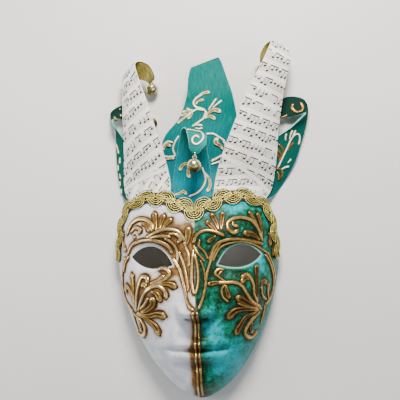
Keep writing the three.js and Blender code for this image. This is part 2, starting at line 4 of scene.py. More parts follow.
import bmesh
import bpy
import numpy as np
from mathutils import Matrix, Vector, noise
from mathutils.kdtree import KDTree

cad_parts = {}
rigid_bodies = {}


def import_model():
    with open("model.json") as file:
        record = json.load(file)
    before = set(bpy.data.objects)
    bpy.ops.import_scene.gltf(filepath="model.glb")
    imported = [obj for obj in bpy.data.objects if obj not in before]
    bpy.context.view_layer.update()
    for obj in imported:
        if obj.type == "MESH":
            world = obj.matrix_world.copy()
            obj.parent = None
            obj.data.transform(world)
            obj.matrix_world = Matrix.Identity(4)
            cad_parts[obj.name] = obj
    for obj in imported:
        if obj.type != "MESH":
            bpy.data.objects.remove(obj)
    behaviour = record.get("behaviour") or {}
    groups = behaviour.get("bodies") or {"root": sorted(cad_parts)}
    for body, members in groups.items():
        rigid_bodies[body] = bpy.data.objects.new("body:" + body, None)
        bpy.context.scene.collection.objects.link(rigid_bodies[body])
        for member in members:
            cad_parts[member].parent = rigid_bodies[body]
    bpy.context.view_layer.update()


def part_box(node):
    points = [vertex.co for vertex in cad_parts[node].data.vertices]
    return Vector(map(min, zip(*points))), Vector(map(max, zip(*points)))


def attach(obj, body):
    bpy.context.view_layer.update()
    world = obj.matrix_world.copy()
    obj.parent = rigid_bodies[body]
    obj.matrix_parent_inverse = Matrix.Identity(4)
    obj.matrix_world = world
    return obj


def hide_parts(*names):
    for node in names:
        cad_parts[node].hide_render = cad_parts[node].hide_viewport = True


for startup in list(bpy.data.objects):
    bpy.data.objects.remove(startup)
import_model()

# Shell
# A full face of papier-mache, laid up in a plaster mould, dried and trimmed flat along its rim, with two eye
# holes, two nostrils and a cut top edge. One half is painted white and the other a mottled green.

MM = 0.001
FACE_HALF_WIDTH = 80
CHIN_DOWN = 143
CROWN_UP = 92
FACE_DEPTH = 62
WALL = 2.6
# How square the face's outline is below and above the eyes, and its sections
CHIN_POWERS, CROWN_POWERS, SECTION_POWER = (1.7, 0.6), (3, 0.5), 2.4
NOSE_RISE, NOSE_TOP, NOSE_LENGTH, NOSE_END = 24, 12, 62, -50
BRIDGE_HALF, TIP_WIDER = 6.4, 4.4
WING_RISE, WING_OUT, WING_SPREAD = 8.5, 12.5, (6.2, 6.5)
NOSTRIL_RADIUS, NOSTRIL_FLAT, NOSTRIL_TILT, NOSTRIL_PLACE = 3.4, 0.75, -20, (8, -56, 66)
NOSTRIL_IN, NOSTRIL_OUT = 15, 5
UNEVENNESS, LUMP_SIZE = 0.16, 9
# The paper swells round each eye hole, and is rounded over at the hole itself
EYE_LIP, EYE_LIP_SPREAD, EYE_ROUND, EYE_ROUND_SPREAD = 0.55, 1.6, 0.9, 0.8
# The shell's rows lie closer together at the end of the chin and of the crown
SHELL_STEP, CHIN_CLOSE, CROWN_CLOSE = 1.15, 11, 17
EDGE_OVER_BRAID = 5
THROUGH = (-20, 120)

shell_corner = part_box("mask_shell")[0]
SHIFT = np.array([shell_corner[0] / MM + FACE_HALF_WIDTH, shell_corner[1] / MM + CHIN_DOWN, 0.0])


def smooth(t):
    s = np.clip(t, 0, 1)
    return s * s * (3 - 2 * s)


def hill(x, y, sx, sy):
    return np.exp(-((x / sx) ** 2) - (y / sy) ** 2)


def hills(x, y, places):
    """Soft hills added up, from each one's x, y, spread across, spread along and rise."""
    return sum(rise * hill(x - cx, y - cy, sx, sy) for cx, cy, sx, sy, rise in places)


def both_sides(places):
    """The places, with those beside the middle line on the other side too."""
    return [(side * cx, *rest) for cx, *rest in places.values() for side in ((1, -1) if cx else (1,))]


def way_to_end(y, inset):
    """How far each place is from the eyes to the chin or the crown, as a share."""
    return np.minimum(np.abs(y) / (np.where(y < 0, CHIN_DOWN, CROWN_UP) - inset), 1)


def half_width(y, inset=0):
    t = way_to_end(y, inset)
    below, above = [(1 - t**power) ** root for power, root in (CHIN_POWERS, CROWN_POWERS)]
    return (FACE_HALF_WIDTH - inset) * np.where(y < 0, below, above)


def depth(y, inset=0):
    return (FACE_DEPTH - inset) * np.sqrt(1 - way_to_end(y, inset) ** SECTION_POWER)


def nose(x, y, slim):
    t = np.clip((NOSE_TOP - y) / NOSE_LENGTH, 0, 1)
    rise = NOSE_RISE * (0.12 + 0.88 * t**1.35) * smooth((16 - y) / 16) * (1 - smooth((NOSE_END - y) / 12))
    ridge = np.exp(-(np.abs(x / (BRIDGE_HALF + TIP_WIDER * t - slim)) ** 2.5))
    sx, sy = [spread - slim for spread in WING_SPREAD]
    wings = [WING_RISE * hill(x - side * WING_OUT, y - NOSE_END, sx, sy) for side in (-1, 1)]
    return rise * ridge + wings[0] + wings[1]


# Swellings and hollows of the face: x, y, spread across, spread along, rise
SWELLINGS = {
    "eye sockets": (40, 2, 24, 15, -7),
    "brows": (36, 22, 26, 9, 3.5),
    "cheeks": (44, -34, 20, 17, 5),
    "muzzle": (0, -86, 30, 22, 5),
    "upper lip": (0, -82, 18, 3.8, 2.2),
    "bow of the lip": (6, -80.5, 8.5, 3.6, 2.8),
    "lower lip": (0, -94.5, 13.5, 4.8, 5.4),
    "line of the mouth": (0, -87.5, 20, 1.7, -4),
    "corners of the mouth": (22, -88, 6, 3.2, -3),
    "hollow under the lip": (0, -104.5, 16, 4.4, -3.6),
    "chin": (0, -124, 17, 11, 6),
    "groove above the lip": (0, -71, 3.4, 7.5, -1.8),
}


def height(x, y, inset=0):
    """Height of the face over the rim's plane. An inset gives the wall's inner side, where hollows are wider."""
    across = np.minimum(np.abs(x) / np.maximum(half_width(y, inset), 1e-6), 1)
    middle = depth(y, inset)
    slim = 0.8 * inset
    laid = []
    for cx, cy, *spreads, lift in both_sides(SWELLINGS):
        spreads = [s + 1.5 * slim if lift < 0 else max(s - slim, 0.5 * s) for s in spreads]
        laid.append((cx, cy, *spreads, lift))
    rise = nose(x, y, slim) + hills(x, y, laid)
    return middle * np.sqrt(1 - across**SECTION_POWER) + rise * smooth((1 - across) / 0.35) * smooth(middle / 25)


# Fine creases that only show close to: x, y, spread across, spread along, rise
CREASES = {
    "between the lips": (0, -88, 19, 0.9, -1.3),
    "edge of the upper lip": (7, -77.8, 8, 1.1, 0.5),
    "under the lower lip": (0, -100.5, 12, 1.6, -0.9),
    "beside the nose wings": (19.6, -50, 1.7, 6.5, -1.2),
    "over the nose wings": (14, -41.5, 5, 1.4, -0.7),
    "edge of the groove": (4.4, -71, 1.2, 6.5, 0.5),
    "lower lid": (41, -15.5, 17, 1.2, -0.6),
}


def normals_at(x, y, inset=0):
    step = 0.5
    dx = (height(x + step, y, inset) - height(x - step, y, inset)) / (2 * step)
    dy = (height(x, y + step, inset) - height(x, y - step, inset)) / (2 * step)
    n = np.stack([-dx, -dy, np.ones_like(dx)], axis=-1)
    return n / np.linalg.norm(n, axis=-1, keepdims=True)


def on_face(x, y):
    return np.stack([x, y, height(x, y)], axis=-1)


def curve(points, steps):
    """Points on the centripetal Catmull-Rom curve through the given ones, at even steps of its parameter."""
    p = np.asarray(points, float)
    p = np.concatenate([[2 * p[0] - p[1]], p, [2 * p[-1] - p[-2]]])
    laid = []
    for t in np.linspace(0, len(points) - 1, steps):
        i = min(int(t), len(points) - 2)
        w = t - i
        a, b, c, d = p[i : i + 4]
        d0, d1, d2 = [max(np.linalg.norm(q - r) ** 0.5, 1e-4) for q, r in ((b, a), (c, b), (d, c))]
        out = d1 * ((b - a) / d0 - (c - a) / (d0 + d1) + (c - b) / d1)
        into = d1 * ((c - b) / d1 - (d - b) / (d1 + d2) + (d - c) / d2)
        laid.append(b + out * w + (3 * (c - b) - 2 * out - into) * w**2 + (2 * (b - c) + out + into) * w**3)
    return np.array(laid)


def evenly(points, step):
    """The same curve, in points that are about one step apart."""
    fine = curve(points, 30 * len(points))
    run = np.concatenate([[0], np.cumsum(np.linalg.norm(np.diff(fine, axis=0), axis=1))])
    places = np.linspace(0, run[-1], max(int(run[-1] / step), 3) + 1)
    return np.stack([np.interp(places, run, fine[:, k]) for k in range(fine.shape[1])], axis=1)


def placed(name, data):
    obj = bpy.data.objects.new(name, data)
    bpy.context.scene.collection.objects.link(obj)
    return obj


def facing_out(mesh, merge):
    """Merges a mesh's doubles, where that is asked, and turns its faces outwards."""
    work = bmesh.new()
    work.from_mesh(mesh)
    if merge:
        bmesh.ops.remove_doubles(work, verts=work.verts, dist=1e-7)
    bmesh.ops.recalc_face_normals(work, faces=work.faces)
    work.to_mesh(mesh)
    work.free()
    return mesh


def piece(name, points, faces):
    """A mesh object from points in millimetres, merged, with its faces turned outwards."""
    mesh = bpy.data.meshes.new(name)
    mesh.from_pydata(((np.asarray(points) + SHIFT) * MM).tolist(), [], faces)
    return placed(name, facing_out(mesh, True))


def skin(wide, steps, closed=False):
    """The faces between rings of points, closed in a loop or with a cap at both ends."""
    faces = []
    for i in range(steps):
        a, b = i * wide, (i + 1) % (steps if closed else steps + 1) * wide
        faces += [(a + k, a + (k + 1) % wide, b + (k + 1) % wide, b + k) for k in range(wide)]
    if not closed:
        faces += [tuple(range(wide))[::-1], tuple(range(steps * wide, (steps + 1) * wide))]
    return faces


def rings_joined(name, rings, closed=False):
    """A skin over rings that all have the same count of points."""
    steps = len(rings) if closed else len(rings) - 1
    return piece(name, np.concatenate(rings), skin(len(rings[0]), steps, closed))


def settled(obj):
    """Applies what the modifiers make, and takes the modifiers off."""
    bpy.context.view_layer.update()
    made = bpy.data.meshes.new_from_object(obj.evaluated_get(bpy.context.evaluated_depsgraph_get()))
    obj.modifiers.clear()
    made.name = obj.data.name
    obj.data = made
    return obj


def cut(obj, cutter, operation="DIFFERENCE"):
    modifier = obj.modifiers.new("cut", "BOOLEAN")
    modifier.operation = operation
    modifier.solver = "MANIFOLD"
    modifier.object = cutter
    settled(obj)
    bpy.data.objects.remove(cutter)


def eye_outline(side):
    corners = [
        [(21, -7), (26, 4), (33, 11), (42, 11)],
        [(42, 11), (50, 11), (57, 7), (62, 0.5)],
        [(62, 0.5), (57, -6), (50, -10), (41, -10.5)],
        [(41, -10.5), (33, -10.5), (26, -9), (21, -7)],
    ]
    t = np.linspace(0, 1, 25)[:-1, None]
    runs = []
    for a, b, c, d in np.array(corners, float):
        runs.append((1 - t) ** 3 * a + 3 * (1 - t) ** 2 * t * b + 3 * (1 - t) * t**2 * c + t**3 * d)
    return np.concatenate(runs) * [side, 1]


def from_outline(x, y, outline):
    """Distance from each place to a closed outline."""
    gap = np.full(x.shape, 1e9)
    for a, b in zip(outline, np.roll(outline, -1, axis=0)):
        ab = b - a
        t = np.clip(((x - a[0]) * ab[0] + (y - a[1]) * ab[1]) / max(ab @ ab, 1e-9), 0, 1)
        gap = np.minimum(gap, np.hypot(x - a[0] - t * ab[0], y - a[1] - t * ab[1]))
    return gap


def prism(name, outline, low, high):
    ring = np.column_stack([outline, np.zeros(len(outline))])
    return rings_joined(name, [ring + [0, 0, low], ring + [0, 0, high]])


def face_form(name, inset, rows, columns, drop):
    """The face as a closed form, from its rows across, with its foot the drop below the rim's plane."""
    rows = np.clip(rows, -CHIN_DOWN + inset, CROWN_UP - inset)
    shares = np.sin(np.linspace(-1, 1, columns) * math.pi / 2)
    rings = []
    for y in rows:
        half = float(half_width(y, inset))
        x = half * shares
        line = np.full_like(x, y)
        z = height(x, line, inset)
        if inset == 0:
            for side in (-1, 1):
                gap = from_outline(x, line, eye_outline(side))
                z += EYE_LIP * np.exp(-((gap / EYE_LIP_SPREAD) ** 2))
                z -= EYE_ROUND * np.exp(-((gap / EYE_ROUND_SPREAD) ** 2))
            calm = np.clip(z / 12, 0, 1)
            lumps = [noise.noise(Vector((a / LUMP_SIZE, y / LUMP_SIZE, 3))) for a in x]
            z += UNEVENNESS * calm * np.array(lumps)
            z += calm * hills(x, line, both_sides(CREASES))
        z[[0, -1]] = 0
        ring = np.column_stack([x, line, z])
        rings.append(np.concatenate([ring, [[half, y, -drop], [-half, y, -drop]]]))
    return rings_joined(name, rings)


near_chin = -CHIN_DOWN + CHIN_CLOSE * np.linspace(0, 1, 13)[:-1] ** 2
near_crown = CROWN_UP - CROWN_CLOSE * np.linspace(1, 0, 9)[1:] ** 2
between = np.arange(CHIN_CLOSE - CHIN_DOWN, CROWN_UP - CROWN_CLOSE + 0.5, SHELL_STEP)
shell_rows = np.concatenate([near_chin, between, near_crown])
shell = face_form("papier_mache_shell", 0, shell_rows, 181, 0)
cut(shell, face_form("hollow", WALL, shell_rows[::2], 91, 5))

BRAID_HALF = [(0, 43), (13, 49), (30, 55.5), (46, 56), (60, 50.5), (69, 41), (73, 26), (75.5, 9), (78, -8)]
braid_points = [(-x, y) for x, y in BRAID_HALF[:0:-1]] + BRAID_HALF
braid_run = evenly(braid_points, 0.5)


def beside(line, over):
    """A line moved to its left by a distance, as the edges of the braid are."""
    way = np.gradient(line, axis=0)
    way /= np.linalg.norm(way, axis=1, keepdims=True)
    return line + np.column_stack([-way[:, 1], way[:, 0]]) * over


top_edge = beside(evenly(braid_points, 4), EDGE_OVER_BRAID)
corners = np.array([(110, -8), (110, 140), (-110, 140), (-110, -8)])
cut(shell, prism("above the edge", np.concatenate([top_edge, corners]), *THROUGH))
for side in (-1, 1):
    cut(shell, prism("eye", eye_outline(side), *THROUGH))
    turn = np.linspace(0, 2 * math.pi, 25)[:-1]
    hole = np.column_stack([np.cos(turn), 0 * turn, NOSTRIL_FLAT * np.sin(turn)]) * NOSTRIL_RADIUS
    tilt = math.radians(NOSTRIL_TILT)
    axis = np.array([0, math.cos(tilt), math.sin(tilt)])
    hole[:, 1], hole[:, 2] = -hole[:, 2] * math.sin(tilt), hole[:, 2] * math.cos(tilt)
    centre = np.array(NOSTRIL_PLACE) * [side, 1, 1]
    cut(shell, rings_joined("nostril", [hole + centre - NOSTRIL_IN * axis, hole + centre + NOSTRIL_OUT * axis]))

# Piped ornament
# Scrolls, leaves and cords of stucco squeezed from a piping bag on to the paper, then gilded, with a brown
# patina left in the grooves. Each leaf has two ridges and a groove between them, and a full rounded end.

# Each one: half width at its start, at its end, depth of its groove, then the places that it passes
RIGHT_CHEEK = [
    (1.5, 1.9, 0.0, (60, -50), (51, -42), (42, -27), (35, -24), (28, -24), (20, -24)),
    (1.3, 2.5, 0.75, (24, -24), (18, -24), (11, -25)),
    (1.2, 1.5, 0.0, (34, -23), (28, -23), (21, -18), (18, -15), (22, -11.5), (27, -12)),
    (1.1, 1.3, 0.0, (21, -17), (24, -14), (25, -15)),
    (1.2, 1.4, 0.0, (28, -25), (24, -30), (25, -37), (30, -42)),
    (1.2, 2.6, 0.6, (28, -26), (29, -32), (31, -39)),
    (1.5, 3.5, 0.85, (61, -52), (53, -48), (46, -43), (37, -37)),
    (1.1, 1.3, 0.0, (58, -51), (46, -47), (38, -43)),
    (1.4, 3.4, 0.85, (58, -53), (48, -50), (36, -51), (28, -58)),
    (1.3, 3.0, 0.85, (56, -54), (46, -58), (40, -66), (35, -74)),
    (1.5, 1.9, 0.0, (59, -54), (50, -63), (44, -74), (50, -79), (56, -73)),
    (1.0, 2.2, 0.6, (52, -64), (50, -70), (51, -75)),
    (1.5, 1.8, 0.0, (57, -45), (54, -37), (53, -26), (48, -17.5), (42, -20)),
    (1.6, 3.2, 0.5, (50, -22), (46, -21), (42, -25)),
    (1.1, 2.5, 0.9, (57, -44), (57, -30), (57, -14), (57, -9)),
    (1.2, 1.4, 0.0, (66, -44), (62, -39), (61, -30)),
    (1.4, 2.6, 0.6, (61, -31), (63, -25), (66, -28)),
    (1.1, 1.8, 0.0, (68, -44), (67, -36), (68, -28)),
]
LEFT_CHEEK = [
    (1.4, 2.9, 0.55, (-60, -44), (-61, -27), (-62, -15)),
    (1.4, 2.4, 0.4, (-60, -44), (-64, -33), (-68, -28), (-70, -34)),
    (1.6, 1.9, 0.0, (-59, -51), (-57, -36), (-55, -27), (-51, -18), (-46, -19), (-46, -24)),
    (1.4, 2.3, 0.4, (-52, -27), (-49, -24), (-47, -28)),
    (1.5, 1.8, 0.0, (-57, -51), (-52, -39), (-46, -30), (-36, -26), (-29, -31), (-28, -38)),
    (1.4, 3.1, 0.7, (-42, -31), (-37, -33), (-33, -40)),
    (1.4, 3.4, 0.75, (-54, -52), (-47, -49), (-41, -43), (-41, -36)),
    (1.1, 1.3, 0.0, (-55, -49), (-49, -43), (-45, -37)),
    (1.4, 3.4, 0.75, (-58, -53), (-47, -55), (-37, -53), (-29, -55)),
    (1.4, 3.0, 0.85, (-59, -54), (-49, -58), (-40, -65), (-36, -73)),
    (1.5, 1.9, 0.0, (-63, -54), (-55, -60), (-50.5, -69), (-54, -76), (-58.5, -75), (-59.5, -71)),
    (1.0, 2.0, 0.6, (-57, -61), (-55.5, -66), (-55.5, -71)),
    (1.4, 1.7, 0.0, (-48, -30), (-40, -25), (-29, -20), (-24, -14), (-28, -10), (-35, -10)),
    (1.3, 1.5, 0.0, (-43, -24), (-34, -20), (-29, -16)),
    (1.4, 2.9, 0.7, (-36, -25), (-26, -24), (-18, -27)),
]
RIGHT_BROW = [
    (1.2, 2.7, 0.75, (22, 23), (17, 28), (11, 34)),
    (1.2, 2.7, 0.75, (23, 25), (20, 33), (16, 41)),
    (1.2, 2.5, 0.75, (25, 25), (26, 33), (27, 42)),
    (1.7, 1.9, 0.0, (63, 13), (59, 25), (53, 33), (44, 36), (36, 35), (31, 31), (32, 25), (37, 22.5), (41, 25)),
    (1.3, 2.2, 0.4, (36, 33), (37, 29), (41, 28)),
    (1.1, 1.7, 0.3, (62, 16), (58, 29), (51, 42)),
    (1.1, 2.0, 0.5, (63, 17), (62, 29), (59, 40)),
    (1.3, 3.3, 0.6, (61, 14), (54, 20), (45, 22)),
    (1.5, 1.5, 0.0, (13, -3), (19, 11), (27, 15), (38, 16.5), (49, 15), (64, 10)),
    (1.1, 1.1, 0.0, (16, -4), (24, 9), (40, 13.7), (54, 11), (64, 4), (69, 0)),
    (1.6, 1.7, 0.0, (-1, 13), (2, 21), (10, 25), (18, 24), (28, 20)),
    (1.1, 2.4, 0.6, (20, 20), (16, 17), (12, 14)),
    (1.1, 1.3, 0.0, (5, 17), (4, 11), (9, 5), (12, -2)),
    (1.2, 1.3, 0.0, (-1, 12), (3, 4), (9, -4)),
    (1.6, 2.4, 0.4, (70, 21), (71, 14), (70, 8)),
    (1.3, 1.5, 0.0, (73, 18), (74, 8), (73, -2)),
]
LEFT_BROW = [
    (1.6, 1.9, 0.0, (-66, 22), (-61, 32), (-54, 36.5), (-46, 36), (-40, 31), (-40, 25)),
    (1.4, 2.6, 0.5, (-50, 33), (-45, 31), (-42, 25)),
    (1.3, 1.7, 0.0, (-62, 24), (-57, 28.5), (-52, 27), (-53, 23)),
    (1.6, 2.4, 0.0, (-59, 21), (-57, 19)),
    (1.2, 2.6, 0.7, (-36, 26), (-37, 34), (-37.5, 43)),
    (1.2, 2.4, 0.7, (-33, 27), (-31, 34), (-28, 41)),
    (1.2, 2.6, 0.7, (-31, 26), (-27, 31), (-21, 37)),
    (1.5, 1.9, 0.0, (-46, 19), (-37, 24), (-25, 27), (-15, 24.5), (-9, 16)),
    (1.3, 1.5, 0.0, (-43, 19), (-33, 21), (-22, 20)),
    (1.2, 1.6, 0.0, (-24, 23), (-17, 22), (-13, 17.5), (-16, 14)),
    (1.6, 3.4, 0.5, (-8, 12), (-6, 20), (-5, 29)),
    (1.4, 1.5, 0.0, (-66, 3), (-61, 12), (-53, 16), (-42, 17.5), (-32, 15), (-25, 11), (-21, 4)),
    (1.3, 1.6, 0.0, (-70, 24), (-71, 14), (-68, 6)),
    (1.1, 1.3, 0.0, (-28, 19), (-20, 13), (-16, 4), (-17, -5)),
]
NOSE = [
    (1.4, 1.3, 0.0, (-21, 0), (-14, -12), (-10, -28), (-6, -42), (-1, -47)),
    (1.1, 1.2, 0.0, (-15, 6), (-11, -4), (-8, -18), (-6, -30)),
    (1.4, 1.3, 0.0, (24, 14), (17, 3), (11, -14), (8, -32), (3, -46)),
    (1.1, 1.2, 0.0, (5, -2), (8, -12), (9, -22)),
    (1.3, 1.2, 0.0, (-1, 8), (-2.6, -8), (-2.4, -24), (0, -32), (2.6, -24), (2.4, -8), (0, 4)),
    (1.1, 1.3, 0.0, (-10, 15), (-6, 4), (-5, -8)),
]
MIDLINE = [(1.05, 1.05, 0.0, (side * 2, low), (side * 1.6, (low + high) / 2), (side * 2, high))
           for side in (-1, 1) for low, high in ((-137, -96), (-85, -48), (-97, -84))]
EDGES = [
    (1.4, 1.5, 0.0, (66, 0), (71, -12), (73, -27), (70, -41), (64, -49)),
    (1.1, 1.4, 0.0, (68, 2), (73.5, -14), (74.5, -26)),
    (1.4, 1.5, 0.0, (-69, 0), (-72.5, -14), (-73, -32), (-70, -45), (-63, -52)),
    (1.2, 1.4, 0.0, (-65, 1), (-69, -6), (-71, -14)),
    (1.2, 1.0, 0.0, (-64, -52), (-61.5, -62), (-59, -71)),
    (1.2, 1.0, 0.0, (64, -49), (62, -58), (59.5, -67)),
]
PIPING = RIGHT_CHEEK + LEFT_CHEEK + RIGHT_BROW + LEFT_BROW + NOSE + MIDLINE + EDGES
PIPING_STEP = 0.55
STEM_FULL, LEAF_FULL = 1.2, 1.32
# A bead stands this high, and this much more for each millimetre of its half width, with its foot in the paint
BEAD_RISE, BEAD_FULL, PIPING_SUNK = 0.4, 0.72, 0.25


def rounded(widths, step):
    """Half widths drawn in to a round end at both ends."""
    run = np.arange(len(widths)) * step
    for k, reach in ((0, run), (-1, run[::-1])):
        near = np.clip(reach / max(widths[k], 0.5), 0, 1)
        widths = widths * np.sqrt(np.clip(1 - (1 - near) ** 2, 0.05, 1))
    return widths


def bead(line, up, start, end, groove, step):
    """Places, directions and sizes of one piped bead along a line on a surface."""
    share = np.linspace(0, 1, len(line))
    way = np.gradient(line, axis=0)
    aside = np.cross(up, way)
    aside /= np.linalg.norm(aside, axis=1, keepdims=True)
    half = rounded(start + (end - start) * share**1.5, step)
    cleft = groove * smooth(share / 0.35) * smooth((1 - share) * len(line) * step / (1.5 * end))
    return {"centre": line, "up": up, "aside": aside, "half": half, "crest": BEAD_RISE + BEAD_FULL * half,
            "groove": cleft, "run": np.arange(len(line)) * step}


def face_bead(start, end, groove, *places):
    flat = evenly(places, PIPING_STEP)
    up = normals_at(flat[:, 0], flat[:, 1])
    line = on_face(flat[:, 0], flat[:, 1]) - PIPING_SUNK * up
    return bead(line, up, STEM_FULL * start, LEAF_FULL * end, groove, PIPING_STEP)


def colour(code):
    """An sRGB hex value as linear red, green, blue and alpha."""
    parts = [int(code[k : k + 2], 16) / 255 for k in (1, 3, 5)]
    return [p / 12.92 if p <= 0.04045 else ((p + 0.055) / 1.055) ** 2.4 for p in parts] + [1.0]


def feed(node, links):
    """Sets or links sockets: from another node's first live output, a socket, a hex colour or a value."""
    for key, source in links.items():
        if isinstance(source, bpy.types.Node):
            source = next(out for out in source.outputs if out.enabled)
        if isinstance(source, bpy.types.NodeSocket):
            node.id_data.links.new(source, node.inputs[key])
        elif isinstance(source, str) and source.startswith("#"):
            node.inputs[key].default_value = colour(source)
        else:
            node.inputs[key].default_value = source


def add(tree, kind, links=None, stops=None, **settings):
    """Adds a node with its settings, what feeds it and the stops of its ramp."""
    node = tree.nodes.new(kind)
    for key, value in settings.items():
        setattr(node, key, value)
    feed(node, links or {})
    for k, (place, code) in enumerate(stops or []):
        element = node.color_ramp.elements[k] if k < 2 else node.color_ramp.elements.new(place)
        element.position = place
        element.color = colour(code)
    return node


def work_out(tree, steps, known):
    """Adds a node for each step of a sum, from numbers, nodes and earlier steps, and keeps it by its name."""
    for name, operation, *inputs in steps:
        links = {k: known.get(value, value) for k, value in enumerate(inputs)}
        if operation == "CHANCE":
            seed = add(tree, "ShaderNodeCombineXYZ", links)
            known[name] = add(tree, "ShaderNodeTexWhiteNoise", {"Vector": seed}, noise_dimensions="2D")
        else:
            known[name] = add(tree, "ShaderNodeMath", links, operation=operation)


# Each step of a bead's section: its name, what is worked out, and from which numbers or earlier steps
BEAD_STEPS = [
    ("spread", "DIVIDE", "across", "groove spread"), ("squared", "MULTIPLY", "spread", "spread"),
    ("falling", "MULTIPLY", "squared", -1.0), ("fade", "EXPONENT", "falling"),
    ("cleft", "MULTIPLY", "fade", "groove"), ("upper", "MAXIMUM", "over", 0.0),
    ("dip", "MULTIPLY", "cleft", "upper"), ("level", "SUBTRACT", "over", "dip"),
    ("lift", "MULTIPLY", "level", "crest"), ("reach", "MULTIPLY", "across", "half"),
]


def sweep_tree():
    """Lays a round or grooved bead along each path, from the directions and sizes kept at its points."""
    tree = bpy.data.node_groups.new("bead along a path", "GeometryNodeTree")
    taken = {"Paths": "Geometry", "Sides": "Int", "Groove spread": "Float", "Finish": "Material"}
    for name, kind in taken.items():
        tree.interface.new_socket(name, in_out="INPUT", socket_type="NodeSocket" + kind)
    tree.interface.new_socket("Beads", in_out="OUTPUT", socket_type="NodeSocketGeometry")
    entry = add(tree, "NodeGroupInput").outputs
    paths = add(tree, "GeometryNodeMeshToCurve", {"Mesh": entry["Paths"]})
    circle = add(tree, "GeometryNodeCurvePrimitiveCircle", {"Resolution": entry["Sides"], "Radius": 1.0})
    place = add(tree, "ShaderNodeSeparateXYZ", {0: add(tree, "GeometryNodeInputPosition")})
    profile = circle.outputs["Curve"]
    for name, axis in (("across", "X"), ("over", "Y")):
        links = {"Geometry": profile, "Name": name, "Value": place.outputs[axis]}
        profile = add(tree, "GeometryNodeStoreNamedAttribute", links, data_type="FLOAT")
    links = {"Curve": paths, "Profile Curve": profile, "Fill Caps": True}
    swept = add(tree, "GeometryNodeCurveToMesh", links)
    kept = {}
    for name in ("across", "over", "half", "crest", "groove", "centre", "up", "aside"):
        kind = "FLOAT_VECTOR" if name in ("centre", "up", "aside") else "FLOAT"
        kept[name] = add(tree, "GeometryNodeInputNamedAttribute", {"Name": name}, data_type=kind)
    kept["groove spread"] = entry["Groove spread"]
    work_out(tree, BEAD_STEPS, kept)
    moved = kept["centre"]
    for direction, amount in ((kept["aside"], kept["reach"]), (kept["up"], kept["lift"])):
        step = add(tree, "ShaderNodeVectorMath", {0: direction, "Scale": amount}, operation="SCALE")
        moved = add(tree, "ShaderNodeVectorMath", {0: moved, 1: step}, operation="ADD")
    shaped = add(tree, "GeometryNodeSetPosition", {"Geometry": swept, "Position": moved})
    soft = add(tree, "GeometryNodeSetShadeSmooth", {"Geometry": shaped})
    real = add(tree, "GeometryNodeRealizeInstances", {"Geometry": soft})
    done = add(tree, "GeometryNodeSetMaterial", {"Geometry": real, "Material": entry["Finish"]})
    add(tree, "NodeGroupOutput", {0: done})
    return tree


bead_tree = sweep_tree()


def held_by(items, key):
    """The places or directions that a mesh's points or faces hold."""
    held = np.empty(len(items) * 3)
    items.foreach_get(key, held)
    return held.reshape(-1, 3)


def keep(mesh, name, values):
    """Keeps a number, or a direction, for each of a mesh's points."""
    kind, key = ("FLOAT_VECTOR", "vector") if np.ndim(values) == 2 else ("FLOAT", "value")
    held = mesh.attributes.new(name, kind, "POINT")
    held.data.foreach_set(key, np.ascontiguousarray(values, np.float32).ravel())


def smoothed(mesh, sharp):
    """Shades a mesh smooth, apart from the edges that turn by more than the sharp angle."""
    mesh.polygons.foreach_set("use_smooth", np.ones(len(mesh.polygons), bool))
    mesh.set_sharp_from_angle(angle=math.radians(sharp))


def laid_beads(name, beads, sides, finish, groove_spread=0.42):
    """One mesh object of many beads, made by the node tree along their paths."""
    kept = {key: np.concatenate([one[key] for one in beads]) for key in beads[0]}
    kept["centre"] = (kept["centre"] + SHIFT) * MM
    kept["half"] = kept["half"] * MM
    kept["crest"] = kept["crest"] * MM
    edges = []
    start = 0
    for one in beads:
        count = len(one["centre"])
        edges += [(k, k + 1) for k in range(start, start + count - 1)]
        start += count
    mesh = bpy.data.meshes.new(name)
    mesh.from_pydata(kept["centre"].tolist(), edges, [])
    for key, values in kept.items():
        keep(mesh, key, values)
    obj = placed(name, mesh)
    modifier = obj.modifiers.new("beads", "NODES")
    modifier.node_group = bead_tree
    sockets = {item.name: item.identifier for item in bead_tree.interface.items_tree if item.in_out == "INPUT"}
    modifier[sockets["Sides"]] = sides
    modifier[sockets["Groove spread"]] = groove_spread
    modifier[sockets["Finish"]] = finish
    facing_out(settled(obj).data, False)
    return obj


def new_material(name, roughness, metallic=0.0, specular=0.5):
    made = bpy.data.materials.new(name)
    made.use_nodes = True
    shader = made.node_tree.nodes["Principled BSDF"]
    feed(shader, {"Roughness": roughness, "Metallic": metallic, "Specular IOR Level": specular})
    return made, made.node_tree, shader


